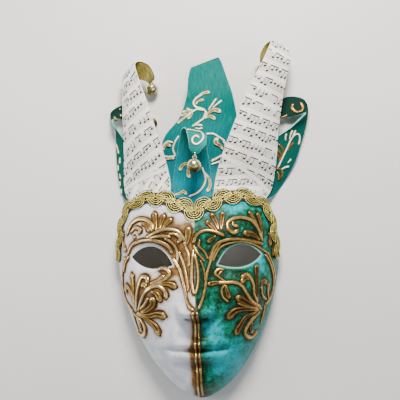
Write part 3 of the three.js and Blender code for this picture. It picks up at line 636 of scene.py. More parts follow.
def piped_finish(name, stops, metallic, sheen, foot, patina):
    """Stucco, bright on its crests and dark in its grooves and along its foot, with patina on the green half."""
    made, tree, shader = new_material(name, 0.3, metallic)
    place = add(tree, "ShaderNodeTexCoord").outputs["Object"]
    cloud = add(tree, "ShaderNodeTexNoise", {"Vector": place, "Scale": 300.0, "Detail": 4.0}).outputs["Fac"]
    over, across, groove = [add(tree, "ShaderNodeAttribute", attribute_name=key).outputs["Fac"]
                            for key in ("over", "across", "groove")]
    inner = add(tree, "ShaderNodeMath", {0: across, 1: across}, operation="MULTIPLY")
    inner = add(tree, "ShaderNodeMath", {0: inner, 1: -7.0}, operation="MULTIPLY")
    inner = add(tree, "ShaderNodeMath", {0: inner}, operation="EXPONENT")
    inner = add(tree, "ShaderNodeMath", {0: inner, 1: groove}, operation="MULTIPLY")
    crown = add(tree, "ShaderNodeMath", {0: over, 1: inner}, operation="SUBTRACT")
    crown = add(tree, "ShaderNodeMath", {0: cloud, 1: 0.7, 2: crown}, operation="MULTIPLY_ADD")
    aside = add(tree, "ShaderNodeSeparateXYZ", {0: place})
    left, right = (SHIFT[0] - 4) * MM, (SHIFT[0] + 1) * MM
    darker = add(tree, "ShaderNodeMapRange", {0: aside, 1: left, 2: right, 3: 0.0, 4: patina})
    crown = add(tree, "ShaderNodeMath", {0: crown, 1: darker}, operation="SUBTRACT")
    worn = add(tree, "ShaderNodeMapRange", {0: crown, 1: foot, 2: 1.38})
    coat = add(tree, "ShaderNodeValToRGB", {0: worn}, stops=stops)
    dull = add(tree, "ShaderNodeMapRange", {0: worn, 1: 0.2, 2: 0.9, 3: 0.6, 4: sheen})
    bump = add(tree, "ShaderNodeBump", {"Height": cloud, "Strength": 0.25, "Distance": 0.0004})
    feed(shader, {"Base Color": coat, "Roughness": dull, "Normal": bump})
    return made


# Bronze powder in varnish over the stucco, rubbed bright on the crests
gilding = piped_finish("gilded_stucco", [
    (0.0, "#1a0d04"), (0.42, "#452a12"), (0.66, "#86632d"), (0.85, "#c4a15a"), (1.0, "#f5e0ab")],
    metallic=0.8, sheen=0.24, foot=-0.08, patina=0.2)

face_beads = [face_bead(*one) for one in PIPING]
piping = laid_beads("stucco_piping", face_beads, 14, gilding)

# Paint on the shell: gesso white and a mottled green tempera under a satin varnish, with brown antiquing wax
# wiped off except round the piping, painted shade in the hollows under the nose and lips, and a darker brown
# towards the rim. How near each place is to the piping and to a cut edge is kept on the mesh.
sown = KDTree(sum(len(one["centre"]) for one in face_beads))
reach = np.concatenate([one["half"] for one in face_beads])
for k, place in enumerate(np.concatenate([one["centre"] for one in face_beads])):
    sown.insert(place, k)
sown.balance()
mesh = shell.data
spots = held_by(mesh.vertices, "co") / MM - SHIFT
gaps = np.array([max(gap - reach[k], 0) for _, k, gap in (sown.find(spot) for spot in spots)])
x, y, z = spots.T
holes = np.minimum(from_outline(x, y, eye_outline(-1)), from_outline(x, y, eye_outline(1)))
brink = np.minimum(holes, from_outline(x, y, np.concatenate([top_edge, corners])))
# Where each tone lies on the face: x, y, spread across, spread along, amount
GOLD_WASH = [(-20, 14, 13, 15, 1), (-8, -2, 9, 14, 1), (-12, 30, 12, 8, 0.6), (-26, -14, 12, 6, 0.7),
             (-4.5, -104, 3.6, 32, 1.3), (8, 8, 6, 12, 0.5), (-6, -87, 7, 3, 0.7), (-51, -35, 14, 14, 1.1)]
# Painted shade in the hollows under the nose, along and under the lips and beside the nose wings, with some brown
# wax in the line of the mouth
HOLLOW_SHADE = [(8, -57.5, 4.6, 2.0, 1), (0, -88, 18, 1.3, 0.8), (0, -102, 12, 3, 0.45), (19.6, -50, 1.8, 7, 0.4),
        (0, -61, 14, 4, 0.25)]
TURQUOISE = [(5, -28, 9, 26, 0.4), (13, -68, 14, 14, 1), (18, -100, 26, 22, 1), (62, -10, 9, 18, 0.9),
             (25, 44, 16, 8, 0.8), (52, -74, 12, 14, 0.7)]
PALE = [(42, 45, 12, 6, 1), (10, 42, 6, 8, 0.8), (30, -100, 14, 10, 0.5)]
PAINTED = {
    "near_piping": np.exp(-gaps / 1.1),
    "about_piping": np.exp(-gaps / 5.0),
    "cut_edge": np.exp(-((brink / 0.9) ** 2)) * smooth((half_width(y) - np.abs(x) - 1) / 4),
    "rim": np.exp(-z / 2.5),
    "across_face": x / 10,
    "down_face": y / 10,
    "gold_wash": hills(x, y, GOLD_WASH),
    "hollow_shade": hills(np.abs(x), y, HOLLOW_SHADE),
    "pale": hills(x, y, PALE),
    "turquoise": hills(x, y, TURQUOISE),
}
for name, values in PAINTED.items():
    keep(mesh, name, values)

painted, tree, shader = new_material("painted_papier_mache", 0.45, specular=0.18)
place = add(tree, "ShaderNodeTexCoord").outputs["Object"]
kept = {name: add(tree, "ShaderNodeAttribute", attribute_name=name).outputs["Fac"] for name in PAINTED}
broad = add(tree, "ShaderNodeTexNoise", {"Vector": place, "Scale": 38.0, "Detail": 6.0, "Distortion": 0.7})
mottle = add(tree, "ShaderNodeTexNoise", {"Vector": place, "Scale": 105.0, "Detail": 8.0, "Roughness": 0.68})
grit = add(tree, "ShaderNodeTexNoise", {"Vector": place, "Scale": 620.0, "Detail": 3.0, "Roughness": 0.6})
chalk = add(tree, "ShaderNodeValToRGB", {0: mottle}, stops=[
    (0.3, "#c0c7d4"), (0.5, "#e2e6ee"), (0.7, "#f7f8fb")])
specks = add(tree, "ShaderNodeMapRange", {0: grit, 1: 0.66, 2: 0.76, 3: 0.0, 4: 0.55})
white = add(tree, "ShaderNodeMix", {0: specks, 6: chalk, 7: "#7f7a76"}, data_type="RGBA")
soft = add(tree, "ShaderNodeMath", {0: kept["about_piping"], 1: mottle}, operation="MULTIPLY")
glaze = add(tree, "ShaderNodeMath", {0: kept["near_piping"], 1: soft}, operation="ADD")
stain = add(tree, "ShaderNodeMath", {0: kept["gold_wash"], 1: broad}, operation="MULTIPLY")
glaze = add(tree, "ShaderNodeMath", {0: stain, 1: 1.5, 2: glaze}, operation="MULTIPLY_ADD")
glaze = add(tree, "ShaderNodeMapRange", {0: glaze, 1: 0.12, 2: 0.85})
shade = add(tree, "ShaderNodeMath", {0: glaze, 1: 0.45, 2: -0.62}, operation="MULTIPLY_ADD")
shade = add(tree, "ShaderNodeMath", {0: mottle, 1: 1.5, 2: shade}, operation="MULTIPLY_ADD")
shade = add(tree, "ShaderNodeMath", {0: kept["near_piping"], 1: 0.45, 2: shade}, operation="MULTIPLY_ADD")
wax = add(tree, "ShaderNodeValToRGB", {0: shade}, stops=[
    (0.0, "#cbb688"), (0.35, "#a18049"), (0.68, "#6c4c27"), (1.0, "#38230f")])
white = add(tree, "ShaderNodeMix", {0: glaze, 6: white, 7: wax}, data_type="RGBA")
# Painted shade: the hollows under the nose and lips darkened to a greyish brown on the white half
shade_in_hollows = add(tree, "ShaderNodeMath", {0: kept["hollow_shade"], 1: 0.75}, operation="MULTIPLY", use_clamp=True)
white = add(tree, "ShaderNodeMix", {0: shade_in_hollows, 6: white, 7: "#5a4a3c"}, data_type="RGBA")

sponge = add(tree, "ShaderNodeTexNoise", {"Vector": place, "Scale": 260.0, "Detail": 5.0, "Roughness": 0.7})
tone = add(tree, "ShaderNodeMath", {0: broad, 1: 0.55}, operation="MULTIPLY")
# The green's tone, darkened with painted shade in the same hollows under the nose and lips
for amount, weight in ((mottle, 0.45), (sponge, 0.8), (kept["turquoise"], 0.17),
                       (kept["about_piping"], -0.2), (kept["hollow_shade"], -0.3), (kept["pale"], 0.2)):
    tone = add(tree, "ShaderNodeMath", {0: amount, 1: weight, 2: tone}, operation="MULTIPLY_ADD")
tone = add(tree, "ShaderNodeMapRange", {0: tone, 1: 0.66, 2: 1.16})
green = add(tree, "ShaderNodeValToRGB", {0: tone}, stops=[
    (0.0, "#04200f"), (0.2, "#06462a"), (0.4, "#036c53"), (0.56, "#02837b"),
    (0.74, "#009aa4"), (1.0, "#16b4bd")])
moss = add(tree, "ShaderNodeMath", {0: kept["near_piping"], 1: 0.9}, operation="MULTIPLY")
green = add(tree, "ShaderNodeMix", {0: moss, 6: green, 7: "#0a2415"}, data_type="RGBA")
sparks = add(tree, "ShaderNodeMapRange", {0: grit, 1: 0.62, 2: 0.74, 3: 0.0, 4: 0.4})
green = add(tree, "ShaderNodeMix", {0: sparks, 6: green, 7: "#36b8ad"}, data_type="RGBA")

wander = add(tree, "ShaderNodeMath", {0: mottle, 1: 0.12, 2: kept["across_face"]}, operation="MULTIPLY_ADD")
half = add(tree, "ShaderNodeMapRange", {0: wander, 1: 0.05, 2: 0.09})
coat = add(tree, "ShaderNodeMix", {0: half, 6: white, 7: green}, data_type="RGBA")
middle = add(tree, "ShaderNodeMath", {0: kept["across_face"]}, operation="ABSOLUTE")
middle = add(tree, "ShaderNodeMapRange", {0: middle, 1: 0.24, 2: 0.14})
below = add(tree, "ShaderNodeMapRange", {0: kept["down_face"], 1: -4.6, 2: -4.9})
seam = add(tree, "ShaderNodeMath", {0: middle, 1: below}, operation="MULTIPLY")
coat = add(tree, "ShaderNodeMix", {0: seam, 6: coat, 7: "#4a2a14"}, data_type="RGBA")
pale = add(tree, "ShaderNodeMix", {0: half, 6: "#e8eaee", 7: "#8fd0c4"}, data_type="RGBA")
coat = add(tree, "ShaderNodeMix", {0: kept["cut_edge"], 6: coat, 7: pale}, data_type="RGBA")
# Darker brown towards the rim's plane, where the shell stands on the sheet
rim_darkening = add(tree, "ShaderNodeMath", {0: kept["rim"], 1: 0.7}, operation="MULTIPLY")
coat = add(tree, "ShaderNodeMix", {0: rim_darkening, 6: coat, 7: "#4f3a22"}, data_type="RGBA")
gloss = add(tree, "ShaderNodeMapRange", {0: mottle, 1: 0.3, 2: 0.7, 3: 0.34, 4: 0.52})
coarse = add(tree, "ShaderNodeBump", {"Height": mottle, "Strength": 0.35, "Distance": 0.0006})
fine = add(tree, "ShaderNodeBump", {"Height": grit, "Normal": coarse, "Strength": 0.22,
                                    "Distance": 0.0003})
feed(shader, {"Base Color": coat, "Roughness": gloss, "Normal": fine})

# Inside, the bare paper pulp: torn sheets pasted over each other, sized with glue and left unpainted
pulp, tree, shader = new_material("bare_papier_mache", 0.75)
place = add(tree, "ShaderNodeTexCoord").outputs["Object"]
torn = add(tree, "ShaderNodeTexVoronoi", {"Vector": place, "Scale": 34.0}, feature="DISTANCE_TO_EDGE")
sheet = add(tree, "ShaderNodeTexVoronoi", {"Vector": place, "Scale": 34.0})
fibre = add(tree, "ShaderNodeTexNoise", {"Vector": place, "Scale": 300.0, "Detail": 6.0})
tint = add(tree, "ShaderNodeSeparateColor", {0: sheet.outputs["Color"]})
tint = add(tree, "ShaderNodeMath", {0: tint, 1: 0.4, 2: fibre}, operation="MULTIPLY_ADD")
paper = add(tree, "ShaderNodeValToRGB", {0: tint}, stops=[
    (0.3, "#a89a80"), (0.6, "#c4b89e"), (0.95, "#d8cfb8")])
step = add(tree, "ShaderNodeMapRange", {0: torn.outputs["Distance"], 1: 0.0, 2: 0.06})
ridge = add(tree, "ShaderNodeBump", {"Height": step, "Strength": 0.6, "Distance": 0.0006})
rough = add(tree, "ShaderNodeBump", {"Height": fibre, "Normal": ridge, "Strength": 0.3,
                                     "Distance": 0.0003})
feed(shader, {"Base Color": paper, "Normal": rough})

mesh.materials.clear()
mesh.materials.append(painted)
mesh.materials.append(pulp)
centres = held_by(mesh.polygons, "center") / MM - SHIFT
outward = normals_at(centres[:, 0], centres[:, 1])
inner = (outward * held_by(mesh.polygons, "normal")).sum(axis=1) < -0.25
mesh.polygons.foreach_set("material_index", inner.astype(np.int32))
smoothed(mesh, 42)

for obj in (shell, piping):
    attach(obj, "root")
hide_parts("mask_shell")

# Braid
# A woven gimp trim glued along the cut edge and down both temples: gold cord laid in nested loops that swell
# outwards and inwards by turns, on a thin woven ground, with two crossing cords down its middle.

BRAID_HALF_WIDTH = 7.4
BRAID_SCALLOP = 1.3
BRAID_GAP = 0.9
BRAID_FALL = 2.6
BRAID_LOBES = 25
BRAID_START = 0.012
BRAID_HEM = 0.6
GROUND_LIFT, HEM_DROP = 0.9, 0.5
CORD_RADIUS, CORD_STEP = 0.5, 0.6
# Each loop starts and ends past the middle line, and the smaller ones lie lower, as every other lobe does
LOOP_RADII, LOOP_FOOT, LOOP_PAST, LOOP_LIFT = (8.7, 6.6, 4.6, 2.6), 0.35, 3.4, 1.3
LOOP_DROP, LOBE_LIFT = 0.05, 0.2
CROSSING_RADIUS, CROSSING_SWAY, CROSSING_LIFT = 0.62, 1.5, 2.0
OVER_STEP = 0.5
OVER_REACH = 10

braid_way = np.gradient(braid_run, axis=0)
braid_way /= np.linalg.norm(braid_way, axis=1, keepdims=True)
braid_length = np.linalg.norm(np.diff(braid_run, axis=0), axis=1).sum() * (1 - 2 * BRAID_START)


def braid_half_sheet(sign):
    """Rows of places on the face from the braid's middle line to one side, in even steps along the surface."""
    count = len(braid_run)
    spots = np.linspace(BRAID_START, 1 - BRAID_START, count) * (count - 1)
    here, way = [np.stack([np.interp(spots, np.arange(count), held[:, k]) for k in (0, 1)])
                 for held in (braid_run, braid_way)]
    out = np.stack([-way[1], way[0]])
    rows = [np.stack([*here, height(*here)], axis=-1)]
    for _ in range(int(OVER_REACH / OVER_STEP)):
        x, y, z = rows[-1].T
        slope = (height(x + out[0], y + out[1]) - height(x - out[0], y - out[1])) / 2
        flat = sign * OVER_STEP / np.hypot(1, np.maximum(slope, -BRAID_FALL))
        x, y = x + out[0] * flat, y + out[1] * flat
        rows.append(np.stack([x, y, np.maximum(height(x, y), z - BRAID_FALL * np.abs(flat))], axis=-1))
    return np.stack(rows, axis=1), out


inner_half, braid_out = braid_half_sheet(-1)
braid_sheet = np.concatenate([inner_half[:, :0:-1], braid_half_sheet(1)[0]], axis=1)
fall = np.gradient(braid_sheet[..., 2], axis=1)
flat = np.hypot(*(np.gradient(braid_sheet[..., k], axis=1) for k in (0, 1)))
braid_lift = np.stack([-braid_out[0][:, None] * fall, -braid_out[1][:, None] * fall, flat], axis=-1)
braid_lift /= np.linalg.norm(braid_lift, axis=-1, keepdims=True)


def from_sheet(sheet, share, over):
    """The value that a sheet over the braid has at a share of its run and a distance from its middle line."""
    a = np.clip(np.asarray(share) * (sheet.shape[0] - 1), 0, sheet.shape[0] - 1.001)
    b = np.clip((np.asarray(over) + OVER_REACH) / OVER_STEP, 0, sheet.shape[1] - 1.001)
    i, k = a.astype(int), b.astype(int)
    s, t = (a - i)[..., None], (b - k)[..., None]
    near = sheet[i, k] * (1 - t) + sheet[i, k + 1] * t
    return near * (1 - s) + (sheet[i + 1, k] * (1 - t) + sheet[i + 1, k + 1] * t) * s


def on_braid(share, over, lift):
    return from_sheet(braid_sheet, share, over) + lift * from_sheet(braid_lift, share, over)


def braid_cord(places, radius, lift):
    """A cord over the braid, through places given as millimetres along and over it."""
    flat = evenly(places, CORD_STEP)
    share = flat[:, 0] / braid_length
    up = from_sheet(braid_lift, share, flat[:, 1])
    cord = bead(on_braid(share, flat[:, 1], lift), up, radius, radius, 0.0, CORD_STEP)
    return cord | {"crest": cord["half"]}


cords = []
pitch = braid_length / BRAID_LOBES
for lobe in range(BRAID_LOBES):
    middle = (lobe + 0.5) * pitch
    way = -1 if lobe % 2 == 0 else 1
    for k, radius in enumerate(LOOP_RADII):
        foot = LOOP_FOOT * (len(LOOP_RADII) - k)
        turn = np.radians(np.linspace(185, -5, 9))
        loop = [(middle - foot, way * -LOOP_PAST)]
        loop += [(middle + radius * math.cos(a), way * radius * math.sin(a)) for a in turn]
        loop += [(middle + foot, way * -LOOP_PAST)]
        lift = BRAID_GAP + LOOP_LIFT + LOBE_LIFT * (lobe % 2) - LOOP_DROP * k
        cords.append(braid_cord(loop, CORD_RADIUS, lift))
for side in (-1, 1):
    run = np.arange(1, braid_length - 1, pitch / 6)
    wave = side * CROSSING_SWAY * np.cos(run / pitch * math.pi)
    cords.append(braid_cord(np.column_stack([run, wave]), CROSSING_RADIUS, BRAID_GAP + CROSSING_LIFT))

# Metal thread: gilt wire wound on cotton, with a painted highlight along the top of each strand and on each turn
# of wire, and painted shade down its sides and between the strands
thread, tree, shader = new_material("gilt_thread", 0.34, 0.7)
place = add(tree, "ShaderNodeTexCoord").outputs["Object"]
run, over, across = [add(tree, "ShaderNodeAttribute", attribute_name=key).outputs["Fac"]
                     for key in ("run", "over", "across")]
slant = add(tree, "ShaderNodeMath", {0: across, 1: 1.9}, operation="MULTIPLY")
twist = add(tree, "ShaderNodeMath", {0: run, 1: 4.2, 2: slant}, operation="MULTIPLY_ADD")
twist = add(tree, "ShaderNodeMath", {0: twist}, operation="SINE")
blotch = add(tree, "ShaderNodeTexNoise", {"Vector": place, "Scale": 150.0, "Detail": 3.0})
# Painted light: brighter on the top of each cord and on each turn of wire, darker down its sides
tone = add(tree, "ShaderNodeMath", {0: twist, 1: 0.14, 2: over}, operation="MULTIPLY_ADD")
tone = add(tree, "ShaderNodeMath", {0: blotch, 1: 0.9, 2: tone}, operation="MULTIPLY_ADD")
tone = add(tree, "ShaderNodeMapRange", {0: tone, 1: -0.2, 2: 1.5})
gilt = add(tree, "ShaderNodeValToRGB", {0: tone}, stops=[
    (0.0, "#141002"), (0.42, "#40370f"), (0.7, "#8c7d26"), (0.88, "#cbbb55"),
    (1.0, "#f2e68e")])
ply = add(tree, "ShaderNodeBump", {"Height": twist, "Strength": 0.5, "Distance": 0.0002})
feed(shader, {"Base Color": gilt, "Normal": ply})

# The ground: plain weave of olive cotton, one thread to each millimetre
ground, tree, shader = new_material("olive_weave", 0.7)
place = add(tree, "ShaderNodeTexCoord").outputs["Object"]
weave = [add(tree, "ShaderNodeTexWave", {"Vector": place, "Scale": 320.0, "Distortion": 0.6},
             bands_direction=axis).outputs[1] for axis in ("X", "Y")]
weave = add(tree, "ShaderNodeMath", {0: weave[0], 1: weave[1]}, operation="MULTIPLY")
olive = add(tree, "ShaderNodeValToRGB", {0: weave}, stops=[(0.0, "#0c0903"), (1.0, "#332b0e")])
raised = add(tree, "ShaderNodeBump", {"Height": weave, "Strength": 0.5, "Distance": 0.0003})
feed(shader, {"Base Color": olive, "Normal": raised})

rings = []
for share in np.linspace(0, 1, BRAID_LOBES * 12 + 1):
    wave = -BRAID_SCALLOP * math.sin(share * BRAID_LOBES * math.pi)
    reach = np.linspace(-BRAID_HALF_WIDTH + BRAID_HEM, BRAID_HALF_WIDTH - BRAID_HEM, 11) + wave
    shares = np.full(11, share)
    lift = np.full((11, 1), BRAID_GAP + GROUND_LIFT)
    lift[[0, -1]] -= HEM_DROP
    rings.append(np.concatenate([on_braid(shares, reach, lift), on_braid(shares, reach, BRAID_GAP)[::-1]]))
band = rings_joined("braid_ground", rings)
band.data.materials.append(ground)
smoothed(band.data, 50)
braid = laid_beads("braid_cords", cords, 8, thread)
for obj in (band, braid):
    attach(obj, "root")
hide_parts("gimp_braid")

# Points of the crown
# Six tapering strips of card, glued inside the cut edge behind the braid and curled over at their tips. Two are
# papered with sheet music and gilded behind; four are painted teal on both sides.

CARD = 1.3
CARD_ROUND = 0.35
GLUE_GAP = 0.9
TIP_HOLE = 1.9
SEAT, FREE = "seat", "free"

# Each one: the layer that it is glued in, counted from the shell, then its rows from foot to tip. A seat row is
# glued under the inside of the shell, between two places of the front view. A free row is its left edge, its
# right edge and how far it bows outwards.
POINTS = {
    "music_point_left": (1, [
        (SEAT, -66, 38, -23.5, 42), (SEAT, -67, 50, -23.5, 58),
        (FREE, (-71, 67, 9), (-23.5, 73, 37), 5), (FREE, (-70, 100, 14), (-30, 103, 39), 5),
        (FREE, (-70, 130, 17), (-38, 130, 39), 4), (FREE, (-70, 149, 17), (-44, 150, 37), 3),
        (FREE, (-70, 163, 17), (-49, 164, 35), 2), (FREE, (-70, 173, 16), (-53, 176, 33), 1),
        (FREE, (-69, 178, 14), (-55.5, 188, 30), 0.5), (FREE, (-61, 176, 15.5), (-51, 191, 24), 0),
        (FREE, (-52.5, 173.5, 20), (-42.5, 187, 23.5), 0), (FREE, (-46, 171.5, 22.5), (-38.5, 180, 23), 0),
        (FREE, (-43.5, 169.5, 21), (-37.5, 175.5, 21.5), 0), (FREE, (-43, 169, 18.4), (-38.5, 173, 18.4), 0)]),
    "music_point_right": (1, [
        (SEAT, 19, 42, 66, 38), (SEAT, 19, 57, 67, 50),
        (FREE, (20, 71, 39), (74, 63, 8), 5), (FREE, (27, 95, 41), (79, 90, 14), 5),
        (FREE, (38, 122, 43), (82, 121, 19), 5), (FREE, (53, 157, 40), (87, 152, 21), 3),
        (FREE, (65, 179, 36), (93, 178, 23), 2), (FREE, (73, 195, 33), (95, 189, 22), 1),
        (FREE, (77, 206, 26), (92, 200, 16), 0), (FREE, (71, 203, 20), (86, 193, 13), 0),
        (FREE, (66.5, 194.5, 23), (77, 187, 20), 0), (FREE, (66, 189, 22), (73, 185, 21), 0),
        (FREE, (66.5, 186.5, 18.6), (71.5, 184.5, 18.6), 0)]),
    "teal_point_centre_front": (1, [
        (SEAT, -20, 36, 15, 36), (SEAT, -20, 56, 15, 56),
        (FREE, (-20, 70, 44), (16, 70, 44), 2), (FREE, (-17, 88, 47), (15, 88, 47), 2),
        (FREE, (-12, 109, 54), (13, 106, 54), 1.5), (FREE, (-9, 120, 62), (13, 114, 62), 1),
        (FREE, (-5, 120, 71), (14, 113, 72), 1), (FREE, (-2, 109, 78), (13, 104, 78), 0.5),
        (FREE, (-1, 101, 78), (9, 99, 78), 0), (FREE, (1, 97, 77), (6, 96, 77), 0)]),
    "teal_point_side_left": (2, [
        (SEAT, -64, 34, -55, 38), (SEAT, -64, 49, -54, 56),
        (FREE, (-74, 60, 2.5), (-60, 67, 6.5), 1), (FREE, (-78, 82, 3.5), (-62, 86, 11), 1.5),
        (FREE, (-79, 105, 4), (-65, 104, 12), 1), (FREE, (-79.5, 126, 5), (-73, 120, 13), 0),
        (FREE, (-83.3, 136.5, 6), (-81, 133, 16), 0), (FREE, (-83.4, 143, 5.5), (-79.5, 136, 13), 0),
        (FREE, (-73, 149.7, 5.5), (-72, 136, 9), 0), (FREE, (-60, 148.5, 6.5), (-60, 136, 8), 0),
        (FREE, (-54.5, 144, 7), (-54.5, 134.5, 8), 0), (FREE, (-52, 140, 8), (-52.5, 135, 8), 0)]),
    "teal_point_side_right": (2, [
        (SEAT, 54, 38, 64, 32), (SEAT, 54, 56, 64, 49),
        (FREE, (60, 67, 6.5), (78, 58, 2.5), 1), (FREE, (71, 92, 10), (97, 87, 4), 1.5),
        (FREE, (80, 112, 12), (105, 109, 5), 1), (FREE, (95, 123, 15), (111, 131, 6), 0),
        (FREE, (109, 136, 16), (112, 141, 6), 0), (FREE, (105, 135, 12), (108.5, 150, 5.5), 0),
        (FREE, (95, 133, 9), (97, 153.5, 5.5), 0), (FREE, (87, 134, 8), (86, 151, 6.5), 0),
        (FREE, (81, 136, 8), (80, 145, 7), 0)]),
    "teal_point_centre_back": (2, [
        (SEAT, -36, 46, 38, 46), (SEAT, -36, 57, 38, 57),
        (FREE, (-36, 76, 22), (42, 75, 21), 8), (FREE, (-29, 114, 29), (45, 114, 27), 6),
        (FREE, (-13, 134, 30), (42, 134, 28), 4), (FREE, (-5, 157, 30), (38, 156, 29), 3),
        (FREE, (-4, 172, 26), (33, 172, 26), 2), (FREE, (-2, 181, 21), (28, 188, 21), 1),
        (FREE, (-0.5, 184, 14), (25, 193, 14), 0), (FREE, (5, 182, 8), (22, 188, 8.5), 0),
        (FREE, (10, 176, 7.5), (18, 178, 7.5), 0), (FREE, (12, 171, 8), (17, 172, 8), 0)]),
}


def row_across(rows, i, below, count):
    u = np.linspace(0, 1, count)
    kind, *sizes = rows[i]
    if kind == SEAT:
        x = sizes[0] + (sizes[2] - sizes[0]) * u
        y = sizes[1] + (sizes[3] - sizes[1]) * u
        return np.stack([x, y, height(x, y, WALL)], axis=-1) - below * normals_at(x, y, WALL)
    left, right, bow = np.array(sizes[0], float), np.array(sizes[1], float), sizes[2]
    before, after = rows[max(i - 1, 0)], rows[min(i + 1, len(rows) - 1)]
    way = np.array([0, 1, -0.3])
    if before[0] == FREE:
        way = (np.add(after[1], after[2]) - np.add(before[1], before[2])) / 2
    out = np.cross(right - left, way)
    out /= np.linalg.norm(out)
    return left + (right - left) * u[:, None] + out * (bow * 4 * u * (1 - u))[:, None]


def card_grid(name, steps, across):
    """The middle surface of a point, from foot to tip and from left to right, and the way it faces."""
    layer, rows = POINTS[name]
    below = CARD / 2 + GLUE_GAP + (layer - 1) * (CARD + GLUE_GAP)
    laid = np.stack([row_across(rows, i, below, across + 1) for i in range(len(rows))])
    grid = np.stack([curve(laid[:, k], steps + 1) for k in range(across + 1)], axis=1)
    i, k = np.arange(steps + 1), np.arange(across + 1)
    ahead = grid[np.minimum(i + 1, steps)] - grid[np.maximum(i - 1, 0)]
    aside = grid[:, np.minimum(k + 1, across)] - grid[:, np.maximum(k - 1, 0)]
    out = np.cross(aside, ahead)
    return grid, out / np.linalg.norm(out, axis=-1, keepdims=True)


def tip_frame(name):
    """The hole near the tip, the way that the bell hangs, the way that the card faces, and across."""
    grid, out = card_grid(name, 14, 4)
    toward = grid[-1, 2] - grid[-2, 2]
    toward /= np.linalg.norm(toward)
    face = out[-1, 2] - toward * (out[-1, 2] @ toward)
    face /= np.linalg.norm(face)
    return grid[-1, 2] - TIP_HOLE * toward, toward, face, np.cross(toward, face)


# The row along which each point bends over, and how much painted shade darkens the side points. About that row
# the paint changes to that of the curl: painted shade on the front, fairer paint on the back. The front has
# ornament up to a few rows past it, and the curl from a little further on.
CARD_STEPS, CARD_ACROSS = 132, 24
FRONT_ENDS, CURL_STARTS = 4, 6
CURL_BEFORE, CURL_BLEND = 6, 10
# Millimetres to one unit of the paper's UV map
PAPER_UNIT = 100.0
CREST = {"teal_point_side_left": 66, "teal_point_side_right": 78, "teal_point_centre_front": 78,
         "teal_point_centre_back": 92, "music_point_left": 92, "music_point_right": 92}
# How much painted shade darkens each side point
SIDE_SHADE = {"teal_point_side_left": 0.85, "teal_point_side_right": 0.85}


def card_point(name, finishes, turn):
    """A point of card: a front, a back and two soft edges, with the run of its paper in the UV map."""
    steps, across = CARD_STEPS, CARD_ACROSS
    grid, out = card_grid(name, steps, across)
    edge_way = np.stack([grid[:, 0] - grid[:, 1], grid[:, -1] - grid[:, -2]], axis=1)
    edge_way /= np.linalg.norm(edge_way, axis=-1, keepdims=True)
    front, back = grid + out * CARD / 2, grid - out * CARD / 2
    left = grid[:, :1] + edge_way[:, :1] * CARD_ROUND
    right = grid[:, -1:] + edge_way[:, 1:] * CARD_ROUND
    rings = np.concatenate([front, right, back[:, ::-1], left], axis=1)
    count = rings.shape[1]
    mesh = bpy.data.meshes.new(name)
    mesh.from_pydata(((rings.reshape(-1, 3) + SHIFT) * MM).tolist(), [], skin(count, steps))
    slots = [0] * across + [2, 2] + [1] * (count - across - 4) + [2, 2]
    run = np.concatenate([[0], np.cumsum(np.linalg.norm(np.diff(grid[:, across // 2], axis=0), axis=1))])
    wide = np.linalg.norm(grid[:, -1] - grid[:, 0], axis=1)
    u = np.linspace(-0.5, 0.5, across + 1)
    u = np.concatenate([u, [0.5], u[::-1], [-0.5]])[None, :] * wide[:, None]
    v = np.broadcast_to(run[:, None], u.shape)
    c, s = math.cos(turn), math.sin(turn)
    flat = np.stack([u * c + v * s, v * c - u * s], axis=-1).reshape(-1, 2) / PAPER_UNIT
    corners_at = np.empty(len(mesh.loops), np.int32)
    mesh.loops.foreach_get("vertex_index", corners_at)
    mesh.uv_layers.new(name="paper").data.foreach_set("uv", flat[corners_at].astype(np.float32).ravel())
    # How far into the curl each row lies, where the front takes painted shade, and the side points' painted shade
    curled = smooth((np.arange(steps + 1)[:, None] - CREST[name] + CURL_BEFORE) / CURL_BLEND) + 0 * u
    for key, values in (("up_point", v), ("curled", curled), ("side_shade", SIDE_SHADE.get(name, 0.0) + 0 * u)):
        keep(mesh, key, values.ravel())
    for finish in finishes:
        mesh.materials.append(finish)
    mesh.polygons.foreach_set("material_index", np.array(slots * steps + [2, 2], np.int32))
    smoothed(mesh, 35)
    return placed(name + "_card", mesh)


# Sheet music: thin cream paper printed in grey-black with generic staves and notes, pasted round the card.
# Sizes in millimetres across and along the sheet.
STAVE_PITCH, STAVE_LOW, LINE_GAP = 12.5, 3.0, 1.35
NOTE_PITCH, NOTE_RISE, HEAD_HALF, BEAM_UP, BAR_PITCH = 4.5, 0.8, 1.35, 10.3, 21.0
# A second sheet is pasted at the foot, turned a little, with its seam and the first one's blank margin above it.
# The seam is drawn as a thin line of painted shadow along the pasted edge.
SEAM_UP, SEAM_SLANT, SEAM_MARGIN = 40.0, 0.25, 4.0
printed, tree, shader = new_material("pasted_sheet_music", 0.6)

sheet = add(tree, "ShaderNodeUVMap", uv_map="paper")
sheet = add(tree, "ShaderNodeSeparateXYZ", {0: sheet}).outputs
place = add(tree, "ShaderNodeTexCoord").outputs["Object"]
aged = add(tree, "ShaderNodeTexNoise", {"Vector": place, "Scale": 24.0, "Detail": 5.0})
fibre = add(tree, "ShaderNodeTexNoise", {"Vector": place, "Scale": 500.0, "Detail": 3.0})

